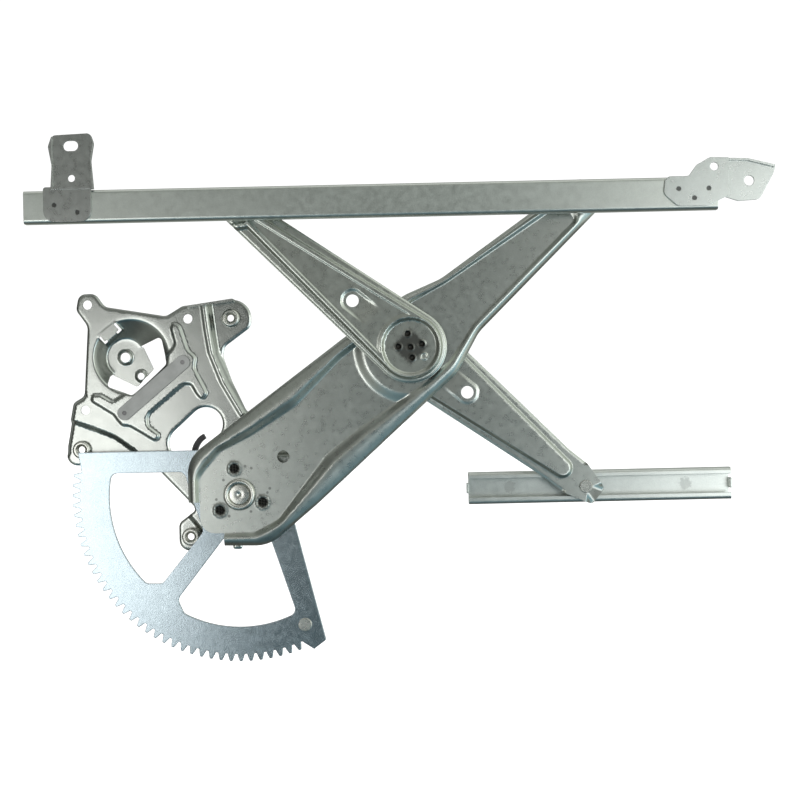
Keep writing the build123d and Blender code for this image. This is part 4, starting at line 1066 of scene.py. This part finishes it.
# %% Plastic and spring finishes
def moulded_finish(name, colour, dark, roughness, soft):
    """Moulded plastic: two tones mixed by a broad noise, with a fine orange-peel bump."""
    finish, tree, shader, where = new_finish(name)
    broad = add_node(tree, "ShaderNodeTexNoise", Vector=where, Scale=90.0, Detail=5.0, Roughness=0.6)
    fine = add_node(tree, "ShaderNodeTexNoise", Vector=where, Scale=1800.0, Detail=2.0)
    amount = scaled(tree, broad.outputs["Fac"], 0.35, 0.7, 0.0, 1.0)
    shade = mix_colour(tree, "MIX", amount, (*dark, 1), (*colour, 1))
    rough = scaled(tree, broad.outputs["Fac"], 0.3, 0.7, roughness, roughness + 0.15)
    edge = add_node(tree, "ShaderNodeBevel", {"samples": 4}, Radius=0.0004)
    peel = add_node(
        tree, "ShaderNodeBump", Strength=0.12, Distance=0.0001, Height=fine.outputs["Fac"],
        Normal=edge.outputs["Normal"],
    )
    fill(tree, shader, Base_Color=shade, Roughness=rough, Normal=peel.outputs["Normal"])
    fill(tree, shader, Subsurface_Weight=soft, Subsurface_Scale=0.002)
    return finish


PLASTICS = [
    ("pad_plastic", (0.22, 0.23, 0.22), (0.17, 0.18, 0.17), 0.42, 0.0),
    ("roller_plastic", (0.86, 0.84, 0.76), (0.80, 0.78, 0.69), 0.40, 0.1),
    ("spring_steel", (0.018, 0.018, 0.020), (0.010, 0.010, 0.011), 0.28, 0.0),
    ("pin_plastic", (0.14, 0.14, 0.14), (0.09, 0.09, 0.09), 0.45, 0.0),
]
for plastic in PLASTICS:
    finishes[plastic[0]] = moulded_finish(*plastic)
print("finishes", len(finishes))

# %% [markdown]
# ## Marks on single pieces
# The main arm has three burnt craters round its pivot, with splatter about
# them. The cap of the balance arm has a dark diamond with five nuggets. The
# glass brackets have a dark nugget in each dimple. The left one is painted
# darker than the right one as painted shade, for the light that comes from the
# right, and the rail's web shows two faint heat marks.

# %% Finishes with marks
RAIL_WEB, BRACKET_FACE = -13.6, 33.4
SPLASH_SPOTS = [
    (4.6, 20.9), (9.2, 19.3), (-11.7, 10.9), (-17.3, -3.5), (-8.0, -16.0), (8.3, -12.9), (20.8, 0.9),
    (22.7, 4.0),
]
arm_marks = [(place(x, z, ARM_FLOOR), 0.0064, 0.46, 0.7) for x, z in CRATER_SPOTS]
arm_marks += [(place(x, z, ARM_FLOOR - 1.0), 0.0040, 0.90, 0.9) for x, z in CRATER_SPOTS]
arm_marks += [(place(x, z, ARM_FLOOR), 0.0011, 0.55, 0.6) for x, z in SPLASH_SPOTS]
cap_marks = [(place(*CROSS, CAP_FACE), 0.0145, 0.84, 0.35, 0.85)]
cap_marks += [
    (place(CROSS[0] + x, CROSS[1] + z, CAP_FACE - 0.5), 0.0026, 0.85, 0.9) for x, z in CAP_SPOTS
]
left_marks, right_marks = (
    [(place(x, z, BRACKET_FACE), 0.0019, 0.80, 0.8) for x, z in spots]
    for spots in ([(-128.2, 215.2), (-111.3, 209.7)], [(327.5, 217.3), (338.9, 210.4), (349.5, 217.2)])
)
rail_marks = [(place(x, 0, RAIL_WEB), 0.0050, 0.25, 1.6) for x in (202.2, 335.6)]
MARKED_PLATINGS = {
    "main_arm_zinc": ((0.55, 0.57, 0.53), SHEET, arm_marks),
    "upper_half_zinc": ((0.55, 0.57, 0.52), SHEET, cap_marks),
    # The left bracket's colour is darker than the right one's: painted shade, since the light falls from the
    # right.
    "left_bracket_zinc": ((0.46, 0.47, 0.45), (0.45, 0.30, 0.22, 0.15, 0.0005), left_marks),
    "right_bracket_zinc": ((0.62, 0.65, 0.62), (0.20, 0.20, 0.22, 0.12, 0.0005), right_marks),
    "rail_zinc": ((0.74, 0.77, 0.73), (0.18, 0.22, 0.26, 0.12, 0.0008), rail_marks),
}
for name, plating in MARKED_PLATINGS.items():
    finishes[name] = zinc_finish(name, *plating)
print("marks", len(arm_marks + cap_marks + left_marks + right_marks + rail_marks))

# %% [markdown]
# A piece that stands in for a solid wears that solid's finish.

# %% Give every solid its finish
own_finish = {
    "main_arm": "main_arm_zinc",
    "balance_arm_upper": "upper_half_zinc",
    "guide_rail": "rail_zinc",
    "left_glass_bracket": "left_bracket_zinc",
    "right_glass_bracket": "right_bracket_zinc",
    "slide_pad_pins": "pin_plastic",
}
slot_of = {entry["node"]: entry["material_slot"] for entry in frame["record"]["subparts"]}
stand_ins = {
    "main_arm": [main_arm],
    "balance_arm_upper": [balance_upper],
    "balance_arm_lower": [balance_lower],
    "base_plate": [base_plate, flange_piece, tab_piece],
    "pivot_pin": [pin_piece, arbor_piece],
}
for name, solid in solids.items():
    finish = finishes[own_finish.get(name, slot_of[name])]
    for piece in (solid, *stand_ins.get(name, [])):
        piece.data.materials.clear()
        piece.data.materials.append(finish)
print("dressed", len(solids), "solids")
